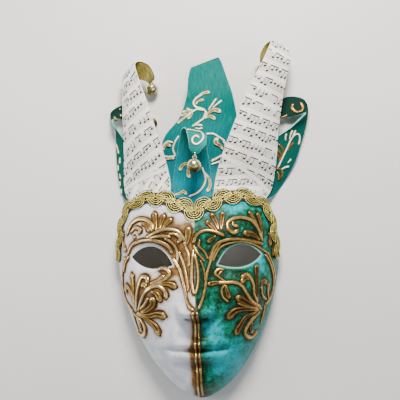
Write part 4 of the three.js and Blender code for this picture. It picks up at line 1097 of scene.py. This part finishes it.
# Each step of the print: its name, what is worked out, and from which numbers or earlier steps
PRINT_STEPS = [
    ("wide of", "MULTIPLY", "sheet across", PAPER_UNIT), ("far along", "MULTIPLY", "sheet along", PAPER_UNIT),
    ("over seam", "MULTIPLY_ADD", "wide of", SEAM_SLANT, "far along"),
    ("past seam", "SUBTRACT", "over seam", SEAM_UP),
    ("second sheet", "LESS_THAN", "past seam", 0.0), ("turned over", "MULTIPLY", "far along", 0.4),
    ("turned up", "MULTIPLY_ADD", "wide of", -0.4, 4.7),
    ("moved over", "MULTIPLY", "turned over", "second sheet"),
    ("moved up", "MULTIPLY", "turned up", "second sheet"),
    ("across", "ADD", "wide of", "moved over"), ("along", "ADD", "far along", "moved up"),
    ("margin edge", "GREATER_THAN", "past seam", SEAM_MARGIN),
    ("print edge", "MAXIMUM", "second sheet", "margin edge"),
    # The seam step is a thin line of painted shadow along the pasted edge
    ("seam gap", "ABSOLUTE", "past seam"), ("seam", "LESS_THAN", "seam gap", 0.28),
    ("staves", "DIVIDE", "along", STAVE_PITCH), ("stave", "FLOOR", "staves"),
    ("stave foot", "MULTIPLY", "stave", STAVE_PITCH), ("up", "SUBTRACT", "along", "stave foot"),
    ("notes", "DIVIDE", "across", NOTE_PITCH), ("spot", "MULTIPLY_ADD", "stave", 0.37, "notes"),
    ("note", "FLOOR", "spot"), ("share", "FRACT", "spot"), ("aside", "SUBTRACT", "share", 0.5),
    ("beside", "MULTIPLY", "aside", NOTE_PITCH),
    ("tune", "CHANCE", "note", "stave"), ("steps up", "MULTIPLY", "tune", 7.0), ("step up", "FLOOR", "steps up"),
    ("pitch", "MULTIPLY_ADD", "step up", NOTE_RISE, STAVE_LOW + 0.3),
    ("trio", "DIVIDE", "note", 3.0), ("group", "FLOOR", "trio"), ("group seed", "ADD", "group", 61.3),
    ("group luck", "CHANCE", "group seed", "stave"), ("beamed", "GREATER_THAN", "group luck", 0.35),
    ("note seed", "ADD", "note", 17.7), ("note luck", "CHANCE", "note seed", "stave"),
    ("sounded", "GREATER_THAN", "note luck", 0.16),
    ("wide", "DIVIDE", "beside", HEAD_HALF), ("wide squared", "MULTIPLY", "wide", "wide"),
    ("over pitch", "SUBTRACT", "up", "pitch"), ("tall", "DIVIDE", "over pitch", 0.8 * HEAD_HALF),
    ("tall squared", "MULTIPLY", "tall", "tall"), ("round", "ADD", "wide squared", "tall squared"),
    ("head", "LESS_THAN", "round", 1.0),
    ("from stem", "SUBTRACT", "beside", HEAD_HALF - 0.25), ("stem gap", "ABSOLUTE", "from stem"),
    ("on stem", "LESS_THAN", "stem gap", 0.32), ("over head", "GREATER_THAN", "up", "pitch"),
    ("under beam", "LESS_THAN", "up", BEAM_UP + 0.4), ("stem span", "MULTIPLY", "over head", "under beam"),
    ("stem", "MULTIPLY", "on stem", "stem span"), ("head or stem", "MAXIMUM", "head", "stem"),
    ("played", "MULTIPLY", "head or stem", "sounded"),
    ("from beam", "SUBTRACT", "up", BEAM_UP), ("beam gap", "ABSOLUTE", "from beam"),
    ("on beam", "LESS_THAN", "beam gap", 0.6), ("group foot", "MULTIPLY", "group", 3.0),
    ("in group", "SUBTRACT", "note", "group foot"), ("at group", "MULTIPLY_ADD", "beside", 0.3, "in group"),
    ("before end", "LESS_THAN", "at group", 2.26), ("after start", "GREATER_THAN", "at group", 0.2),
    ("beam span", "MULTIPLY", "before end", "after start"), ("beam there", "MULTIPLY", "on beam", "beamed"),
    ("beam", "MULTIPLY", "beam span", "beam there"), ("notation", "MAXIMUM", "played", "beam"),
    ("black", "MULTIPLY", "notation", 0.95),
    ("over stave", "SUBTRACT", "up", STAVE_LOW), ("lines", "DIVIDE", "over stave", LINE_GAP),
    ("line", "ROUND", "lines"), ("off line", "SUBTRACT", "lines", "line"), ("line gap", "ABSOLUTE", "off line"),
    ("on line", "LESS_THAN", "line gap", 0.15), ("from middle", "SUBTRACT", "lines", 2.0),
    ("middle gap", "ABSOLUTE", "from middle"), ("in stave", "LESS_THAN", "middle gap", 2.2),
    ("stave line", "MULTIPLY", "on line", "in stave"),
    ("bar luck", "CHANCE", "stave", 3.3), ("bars", "DIVIDE", "across", BAR_PITCH),
    ("moved", "ADD", "bars", "bar luck"), ("bar", "ROUND", "moved"), ("off bar", "SUBTRACT", "moved", "bar"),
    ("bar gap", "ABSOLUTE", "off bar"), ("on bar", "LESS_THAN", "bar gap", 0.013),
    ("bar line", "MULTIPLY", "on bar", "in stave"),
    ("ruled", "MAXIMUM", "stave line", "bar line"), ("grey", "MULTIPLY", "ruled", 0.78),
    ("ink", "MAXIMUM", "black", "grey"), ("uneven", "MULTIPLY_ADD", "fibre", 0.7, 0.75),
    ("inked", "MULTIPLY", "ink", "uneven"), ("in print", "MULTIPLY", "inked", "print edge"),
    # The painted seam shadow is laid over the print in light grey
    ("ink and seam shadow", "MULTIPLY_ADD", "seam", 0.4, "in print"),
]
worked = {"sheet across": sheet[0], "sheet along": sheet[1], "fibre": fibre}
work_out(tree, PRINT_STEPS, worked)
stock = add(tree, "ShaderNodeValToRGB", {0: aged}, stops=[
    (0.3, "#f1ede2"), (0.55, "#fbf9f3"), (0.75, "#e6ddc4")])
sheet_colour = add(tree, "ShaderNodeMix", {0: worked["ink and seam shadow"], 6: stock, 7: "#17181c"}, data_type="RGBA",
                   clamp_factor=True)
tooth = add(tree, "ShaderNodeBump", {"Height": fibre, "Strength": 0.2, "Distance": 0.0003})
feed(shader, {"Base Color": sheet_colour, "Normal": tooth})

# The cut edge of the papered card, left white
cut_paper, tree, shader = new_material("white_cut_edge", 0.6)
place = add(tree, "ShaderNodeTexCoord").outputs["Object"]
fibre = add(tree, "ShaderNodeTexNoise", {"Vector": place, "Scale": 700.0, "Detail": 2.0})
paper = add(tree, "ShaderNodeValToRGB", {0: fibre}, stops=[(0.3, "#e4e4e0"), (0.7, "#fafaf8")])
feed(shader, {"Base Color": paper})

# The backs of the papered points: olive gold paint, brushed on along the strip
olive_back, tree, shader = new_material("olive_gold_paint", 0.42, 0.35)
brush_run = add(tree, "ShaderNodeMapping", {0: add(tree, "ShaderNodeUVMap", uv_map="paper"),
                                            3: (160.0, 14.0, 1.0)})
brushed = add(tree, "ShaderNodeTexNoise", {"Vector": brush_run, "Scale": 1.0, "Detail": 5.0})
gold_paint = add(tree, "ShaderNodeValToRGB", {0: brushed}, stops=[
    (0.3, "#5d5324"), (0.55, "#877b3a"), (0.75, "#aa9d58")])
streak = add(tree, "ShaderNodeBump", {"Height": brushed, "Strength": 0.3, "Distance": 0.0004})
feed(shader, {"Base Color": gold_paint, "Normal": streak})

# Teal paint: brushed along each point in fine streaks, bluer towards the foot and lightened there as painted
# light, with a satin skin. Painted shade darkens the side points and the front inside each curl.
teal_paint, tree, shader = new_material("brushed_teal_paint", 0.6, specular=0.06)
brush_run = add(tree, "ShaderNodeMapping", {0: add(tree, "ShaderNodeUVMap", uv_map="paper"),
                                            3: (150.0, 9.0, 1.0)})
brushed = add(tree, "ShaderNodeTexNoise", {"Vector": brush_run, "Scale": 1.0, "Detail": 6.0,
                                           "Roughness": 0.65})
place = add(tree, "ShaderNodeTexCoord").outputs["Object"]
drift = add(tree, "ShaderNodeTexNoise", {"Vector": place, "Scale": 22.0, "Detail": 3.0})
up_point = add(tree, "ShaderNodeAttribute", attribute_name="up_point").outputs["Fac"]
rise = add(tree, "ShaderNodeMath", {0: drift, 1: 60.0, 2: up_point}, operation="MULTIPLY_ADD")
rise = add(tree, "ShaderNodeMapRange", {0: rise, 1: 45.0, 2: 130.0})
# The foot's tone is bluer, and lighter as painted light where shade falls on it
foot_tone_with_painted_light = add(tree, "ShaderNodeValToRGB", {0: brushed}, stops=[
    (0.32, "#005f6a"), (0.5, "#007887"), (0.7, "#1893a3")])
top_tone = add(tree, "ShaderNodeValToRGB", {0: brushed}, stops=[
    (0.32, "#00504a"), (0.5, "#00625c"), (0.7, "#037b75")])
teal = add(tree, "ShaderNodeMix", {0: rise, 6: foot_tone_with_painted_light, 7: top_tone}, data_type="RGBA")
# Painted shade: darker on the side points, and darkest on the front inside the curl
for key, code in (("side_shade", "#004c40"), ("curled", "#012a22")):
    amount = add(tree, "ShaderNodeAttribute", attribute_name=key).outputs["Fac"]
    teal = add(tree, "ShaderNodeMix", {0: amount, 6: teal, 7: code}, data_type="RGBA")
streak = add(tree, "ShaderNodeBump", {"Height": brushed, "Strength": 0.35, "Distance": 0.0004})
feed(shader, {"Base Color": teal, "Normal": streak})

# The same paint behind, darker and plainer up to where the point bends over, and rubbed pale along the cut edge
teal_back, tree, shader = new_material("plain_teal_paint", 0.6, specular=0.06)
place = add(tree, "ShaderNodeTexCoord").outputs["Object"]
drift = add(tree, "ShaderNodeTexNoise", {"Vector": place, "Scale": 60.0, "Detail": 6.0})
dark = add(tree, "ShaderNodeValToRGB", {0: drift}, stops=[(0.3, "#023d2f"), (0.7, "#045a48")])
fair = add(tree, "ShaderNodeValToRGB", {0: drift}, stops=[(0.3, "#00605a"), (0.7, "#087a74")])
amount = add(tree, "ShaderNodeAttribute", attribute_name="curled").outputs["Fac"]
teal = add(tree, "ShaderNodeMix", {0: amount, 6: dark, 7: fair}, data_type="RGBA")
feed(shader, {"Base Color": teal})
teal_edge, tree, shader = new_material("rubbed_teal_edge", 0.4)
place = add(tree, "ShaderNodeTexCoord").outputs["Object"]
drift = add(tree, "ShaderNodeTexNoise", {"Vector": place, "Scale": 240.0, "Detail": 4.0})
rubbed = add(tree, "ShaderNodeValToRGB", {0: drift}, stops=[(0.3, "#2ba795"), (0.7, "#8fdccf")])
feed(shader, {"Base Color": rubbed})

MUSIC = (printed, olive_back, cut_paper)
TEAL = (teal_paint, teal_back, teal_edge)
PRINT_TURN = {"music_point_left": math.radians(28), "music_point_right": math.radians(-14)}
for name in POINTS:
    point = card_point(name, MUSIC if "music" in name else TEAL, PRINT_TURN.get(name, 0.0))
    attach(point, "root")
    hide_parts(name)

# Ornament on the teal points
# Scrolls and leaves of the same stucco, squeezed on to the card before it was curled, and left cream with a gold
# wash along their sides. Those on the sides and inside the curls are gilded.

CARD_FULL, CARD_SUNK = 1.22, 0.1
# A bead takes its height from this many of the card's nearest places, evened out over this many of its own
NEAREST, EVENED = 5, 7
# Each one: half width at its start, at its end, depth of its groove, then the places that it passes
CREAM_CARD = {
    "teal_point_centre_back": [
        (1.0, 1.1, 0.0, (13, 138), (10, 141), (3, 143.5), (1, 147), (3, 151), (7, 154)),
        (1.1, 1.9, 0.6, (6, 153), (10, 156), (17, 157)),
        (0.8, 1.5, 0.6, (3, 146), (6, 149), (11, 150)),
        (0.7, 1.2, 0.0, (15, 140), (20, 147), (23, 151)),
        (0.6, 1.1, 0.0, (19, 142), (24, 146), (28, 149)),
        (1.0, 2.4, 0.75, (12, 134), (16, 138), (21, 140), (27, 138)),
        (0.9, 2.3, 0.75, (11, 132), (16, 134), (21.5, 131)),
        (0.9, 1.3, 0.0, (0, 125), (6, 129), (10, 132), (12, 136), (13, 139)),
        (1.0, 1.1, 0.0, (11, 140), (4, 141), (0, 139), (-5, 135)),
        (0.9, 1.4, 0.6, (-4, 136), (-10, 132), (-15, 128)),
        (0.7, 1.3, 0.6, (2, 140), (-4, 140), (-10, 139)),
        (0.7, 1.3, 0.6, (0, 138.5), (-6, 137), (-12, 135.5)),
        (0.8, 1.7, 0.7, (0, 138), (-2, 135), (-5, 132)),
        (0.6, 1.0, 0.0, (0, 140), (-3, 141), (-6, 142.5)),
        (0.9, 1.0, 0.4, (-1, 125), (4, 126), (9, 125)),
        (0.7, 0.9, 0.0, (2, 123), (6, 122), (9, 123)),
        (0.9, 1.2, 0.0, (12, 117), (19, 117), (24, 114), (29, 110), (30, 104), (28, 98), (22, 94), (16, 91)),
        (1.0, 1.1, 0.0, (28, 111), (31, 104), (29, 97)),
        (1.2, 2.9, 0.7, (28, 102), (25, 106), (21, 109), (23, 113)),
        (0.9, 1.2, 0.0, (16, 88), (21, 89.5), (27, 91)),
        (0.9, 1.0, 0.0, (-14, 116), (-18, 110), (-20, 104), (-18, 97)),
        (1.0, 1.1, 0.0, (-20, 110), (-25, 111), (-30, 107), (-32, 102), (-30, 98), (-25, 96.5), (-18, 97)),
        (1.1, 1.9, 0.6, (-30, 103), (-27, 108), (-22, 107)),
        (0.9, 1.2, 0.3, (-30, 93), (-25, 94.5), (-19, 95)),
    ],
    "teal_point_centre_front": [
        (0.9, 1.8, 0.7, (1, 85), (-5, 89), (-10, 87), (-13, 82)),
        (0.9, 2.3, 0.7, (-2, 86), (-5, 82), (-4, 75)),
        (0.9, 1.2, 0.0, (8, 85), (10, 79), (11, 73), (9, 67), (4, 61), (-5, 57)),
        (0.9, 1.9, 0.6, (10, 80), (14, 74), (15, 67), (12, 61)),
        (1.0, 1.7, 0.6, (-19, 59), (-14, 60), (-10, 62), (-7, 59)),
    ],
    "teal_point_side_right": [
        (0.9, 0.8, 0.0, (81, 84), (85, 92), (90, 102), (95, 112), (99, 116), (102, 116), (103, 112), (102, 108)),
        (0.9, 1.2, 0.0, (103, 110), (101.5, 106)),
        (0.6, 1.2, 0.0, (89, 110), (89, 114), (90, 117)),
        (0.6, 1.2, 0.0, (93, 111), (94, 116), (96, 120)),
        (0.6, 1.2, 0.0, (95, 111), (97, 116), (99, 120)),
        (0.6, 1.2, 0.0, (84, 82), (88, 84), (92, 85)),
        (0.6, 1.2, 0.0, (90.5, 88), (94, 92)),
    ],
    "teal_point_side_left": [
        (0.7, 1.3, 0.3, (-78.5, 112), (-77, 107)), (0.8, 1.3, 0.3, (-77, 107), (-76, 102)),
        (0.8, 1.4, 0.3, (-75, 98), (-75, 92)), (0.8, 1.1, 0.0, (-77, 91), (-77, 85)),
        (0.7, 1.3, 0.3, (-76, 82), (-75, 77)), (0.8, 1.1, 0.3, (-76, 75), (-76, 70)),
        (0.8, 1.1, 0.0, (-75, 67), (-75, 62)),
    ],
}
GILDED_CARD = {
    "teal_point_side_right": [
        (0.7, 1.5, 0.5, (91, 100), (94, 105), (97, 108)),
        (0.8, 1.2, 0.3, (84, 91), (86, 97), (86, 102), (82, 107)),
        (0.8, 1.2, 0.3, (84, 92), (84, 97), (80, 102)),
        (0.8, 1.2, 0.3, (83, 90), (82, 95), (79, 97)),
        (0.9, 1.4, 0.4, (79, 83), (84, 82), (85, 78), (83, 74), (80, 72)),
        (0.8, 1.2, 0.0, (80, 80), (81.5, 77), (81, 74)),
    ],
}
# This shows on the back, which the curl turns to the front
CREAM_OVER_CURL = {
    "teal_point_centre_front": [
        (0.9, 1.0, 0.0, (-4, 118), (0, 117.5), (4, 116.5), (9, 115), (11.5, 111), (9, 106.5), (5, 104.5),
         (1.5, 106.5), (1.5, 110), (5, 112), (7.5, 110)),
    ],
}
# These show inside the curls of the side points
GILDED_IN_CURL = {
    "teal_point_side_left": [
        (0.9, 1.4, 0.3, (-80, 138), (-77, 134)), (0.9, 1.2, 0.0, (-74, 147), (-74, 145)),
        (0.9, 1.3, 0.0, (-74, 141), (-73, 138)),
    ],
    "teal_point_side_right": [
        (1.6, 1.2, 0.4, (98, 146), (96.5, 142), (99, 138.5), (103, 137)),
        (1.2, 1.6, 0.4, (102, 137), (106, 138.5), (107, 142), (105, 147)),
        (0.8, 1.1, 0.0, (85, 133), (88, 133.5), (92, 135)),
    ],
}


def card_bead(name, side, beyond, start, end, groove, *places):
    """A bead on the front or back of a point, before or beyond the row where it bends over."""
    grid, out = card_grid(name, CARD_STEPS, CARD_ACROSS)
    run = slice(CREST[name] + CURL_STARTS, None) if beyond else slice(CREST[name] + FRONT_ENDS)
    spots, ways = grid[run].reshape(-1, 3), side * out[run].reshape(-1, 3)
    flat = evenly(places, PIPING_STEP)
    gaps = np.hypot(spots[:, 0] - flat[:, :1], spots[:, 1] - flat[:, 1:])
    near = gaps.argsort(axis=1)[:, :NEAREST]
    weight = 1 / (np.take_along_axis(gaps, near, axis=1) + 0.3) ** 2
    weight /= weight.sum(axis=1, keepdims=True)
    up = (ways[near] * weight[..., None]).sum(axis=1)
    line = np.column_stack([flat, (spots[near, 2] * weight).sum(axis=1)]) + up * (CARD / 2 - CARD_SUNK)
    for values in (line[:, 2:], up):
        padded = np.pad(values, ((EVENED // 2, EVENED // 2), (0, 0)), "edge")
        values[:] = sum(padded[k : k + len(values)] for k in range(EVENED)) / EVENED
    return bead(line, up, CARD_FULL * start, CARD_FULL * end, groove, PIPING_STEP)


cream = piped_finish("cream_stucco", [
    (0.0, "#33270f"), (0.4, "#7a662e"), (0.6, "#bfae72"), (0.78, "#efe8d0"), (1.0, "#fffdf2")],
    metallic=0.1, sheen=0.34, foot=0.46, patina=0.0)
for finish, side, beyond, laid in ((cream, 1, False, CREAM_CARD), (gilding, 1, False, GILDED_CARD),
                                   (cream, -1, True, CREAM_OVER_CURL), (gilding, 1, True, GILDED_IN_CURL)):
    for name, ornaments in laid.items():
        beads = [card_bead(name, side, beyond, *one) for one in ornaments]
        ornament = laid_beads(name + "_" + finish.name + "_curl" * beyond, beads, 12, finish)
        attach(ornament, "root")

# Rings and bells
# Each tip has a ring of round wire through its hole, and a jingle bell of thin brass hangs on it by a loop. The
# bells have a painted highlight on their domes and painted shade in olive below, where a slot with two round ends
# is cut across.

RING_RADIUS, RING_WIRE = 2.6, 0.45
BELL_RADIUS, BELL_WALL = 6.5, 0.8
LOOP_RADIUS, LOOP_WIRE = 1.7, 0.5
LOOP_SUNK, BELL_REACH = 0.35, 13.45
SLOT_TOP, SLOT_HALF, SLOT_END, SLOT_PAST = -2.4, 0.65, 1.2, 9
SEAM_RISE, SEAM_HALF = 0.3, 0.4


def circle(radius, count, across=0.0, up=0.0):
    turn = np.linspace(0, 2 * math.pi, count + 1)[:-1]
    return np.column_stack([across + radius * np.cos(turn), up + radius * np.sin(turn)])


def turned(name, section, count, place):
    """A closed skin of revolution about y, from a closed section of radius and level."""
    out, level = section.T
    turns = np.linspace(0, 2 * math.pi, count + 1)[:-1]
    rings = [place(np.column_stack([out * math.cos(turn), level, out * math.sin(turn)])) for turn in turns]
    return rings_joined(name, rings, closed=True)


def bar(name, section, half, place):
    """A straight bar along x, from a closed section of level and depth."""
    ends = [np.column_stack([np.full(len(section), x), section]) for x in (-half, half)]
    return rings_joined(name, [place(end) for end in ends])


def jingle_bell(name, place):
    rise = np.radians(np.linspace(-89.9, 89.9, 49))
    outer = BELL_RADIUS + SEAM_RISE * np.exp(-((BELL_RADIUS * np.sin(rise) / SEAM_HALF) ** 2))
    inner = BELL_RADIUS - BELL_WALL
    section = [np.column_stack([outer * np.cos(rise), BELL_RADIUS * np.sin(rise)]),
               np.column_stack([inner * np.cos(rise[::-2]), inner * np.sin(rise[::-2])])]
    bell = turned(name, np.concatenate(section), 64, place)
    slot = [(SLOT_TOP, -SLOT_HALF), (-SLOT_PAST, -SLOT_HALF), (-SLOT_PAST, SLOT_HALF), (SLOT_TOP, SLOT_HALF)]
    cut(bell, bar("slot", np.array(slot, float), SLOT_PAST, place))
    cut(bell, bar("slot ends", circle(SLOT_END, 20, SLOT_TOP), SLOT_PAST, place))
    crown = BELL_RADIUS + LOOP_RADIUS - LOOP_SUNK
    wire = circle(LOOP_WIRE, 12, LOOP_RADIUS)
    loop = turned("loop", wire, 32, lambda p: place(p[:, [0, 2, 1]] + [0, crown, 0]))
    cut(bell, loop, "UNION")
    return bell


# Brass under clear lacquer, with a painted highlight on top and painted shade, browned olive, towards the slot
brass, tree, shader = new_material("tarnished_brass", 0.26, 1.0)
place = add(tree, "ShaderNodeTexCoord").outputs["Object"]
level = add(tree, "ShaderNodeAttribute", attribute_name="up_bell").outputs["Fac"]
cloud = add(tree, "ShaderNodeTexNoise", {"Vector": place, "Scale": 190.0, "Detail": 5.0})
# Painted light: each bell and ring brighter towards its top, darker and olive towards the slot
bright = add(tree, "ShaderNodeMath", {0: cloud, 1: 0.9, 2: level}, operation="MULTIPLY_ADD")
bright = add(tree, "ShaderNodeMapRange", {0: bright, 1: -0.1, 2: 1.1})
tones = add(tree, "ShaderNodeValToRGB", {0: bright}, stops=[
    (0.0, "#4d461c"), (0.35, "#8f8340"), (0.6, "#d6cd92"), (1.0, "#f4efcb")])
dull = add(tree, "ShaderNodeMapRange", {0: bright, 1: 0.1, 2: 0.8, 3: 0.42, 4: 0.2})
pitted = add(tree, "ShaderNodeBump", {"Height": cloud, "Strength": 0.12, "Distance": 0.0004})
feed(shader, {"Base Color": tones, "Roughness": dull, "Normal": pitted})

for name in POINTS:
    hole, toward, face, across = tip_frame(name)
    ring_way, bell_way = np.array([toward, face, across]), np.array([across, -toward, -face])
    centre, hung = hole + toward * RING_RADIUS, hole + toward * BELL_REACH
    ring_name, bell_name = name.replace("point", "ring"), name.replace("point", "bell")
    wire = circle(RING_WIRE, 12, RING_RADIUS)
    ring = turned(ring_name + "_wire", wire, 48, lambda p: p[:, [0, 2, 1]] @ ring_way + centre)
    bell = jingle_bell(bell_name + "_ball", lambda p: p @ bell_way + hung)
    for obj, node in ((ring, ring_name), (bell, bell_name)):
        spots = held_by(obj.data.vertices, "co") / MM - SHIFT
        keep(obj.data, "up_bell", (hung - spots) @ toward / BELL_RADIUS)
        obj.data.materials.clear()
        obj.data.materials.append(brass)
        smoothed(obj.data, 40)
        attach(obj, "root")
        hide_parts(node)

# Studio
# A pale matt sheet under the mask, a strong soft light beyond its crown, weak ones from both sides and an even
# room. The camera looks down on the mask, a little from its right, as the photograph does.

CAMERA_PLACE = (50, 52.5, 898.8)
CAMERA_TURN = (0, 3, -1.5)
LENS = 81
SHEET_HALF = 2.5
LIT_PLACE = (0, 20, 20)
# Each light: its place, its size, its power and its tint
LIGHTS = {
    "key": ((70, 560, 540), 260, 12.5, "#fff9f2"),
    "fill": ((480, -160, 640), 700, 1.5, "#eef3ff"),
    "side": ((-560, -40, 300), 300, 1.6, "#ffffff"),
}

floor_paint, tree, shader = new_material("matt_white_sheet", 0.85)
place = add(tree, "ShaderNodeTexCoord").outputs["Object"]
tooth = add(tree, "ShaderNodeTexNoise", {"Vector": place, "Scale": 3.0, "Detail": 4.0})
sheet = add(tree, "ShaderNodeValToRGB", {0: tooth}, stops=[(0.3, "#e2e1de"), (0.7, "#eae9e6")])
feed(shader, {"Base Color": sheet})
square = bpy.data.meshes.new("sheet")
around = [(SHEET_HALF * a, SHEET_HALF * b, 0) for a, b in ((-1, -1), (1, -1), (1, 1), (-1, 1))]
square.from_pydata(around, [], [(0, 1, 2, 3)])
square.materials.append(floor_paint)
floor = placed("sheet", square)

for name, (place, size, power, tint) in LIGHTS.items():
    lamp = bpy.data.lights.new(name, "AREA")
    lamp.shape = "DISK"
    lamp.size = size * MM
    lamp.energy = power
    lamp.color = colour(tint)[:3]
    light = placed(name, lamp)
    light.location = (np.array(place) + SHIFT) * MM
    way = Vector((np.array(LIT_PLACE) + SHIFT) * MM) - light.location
    light.rotation_euler = way.to_track_quat("-Z", "Y").to_euler()
room = bpy.data.worlds.new("room")
room.use_nodes = True
feed(room.node_tree.nodes["Background"], {"Color": "#f2f4f8", "Strength": 0.3})
bpy.context.scene.world = room

lens = bpy.data.cameras.new("camera")
lens.lens = LENS
camera = placed("camera", lens)
camera.location = (np.array(CAMERA_PLACE) + SHIFT) * MM
camera.rotation_euler = [math.radians(turn) for turn in CAMERA_TURN]
bpy.context.scene.camera = camera
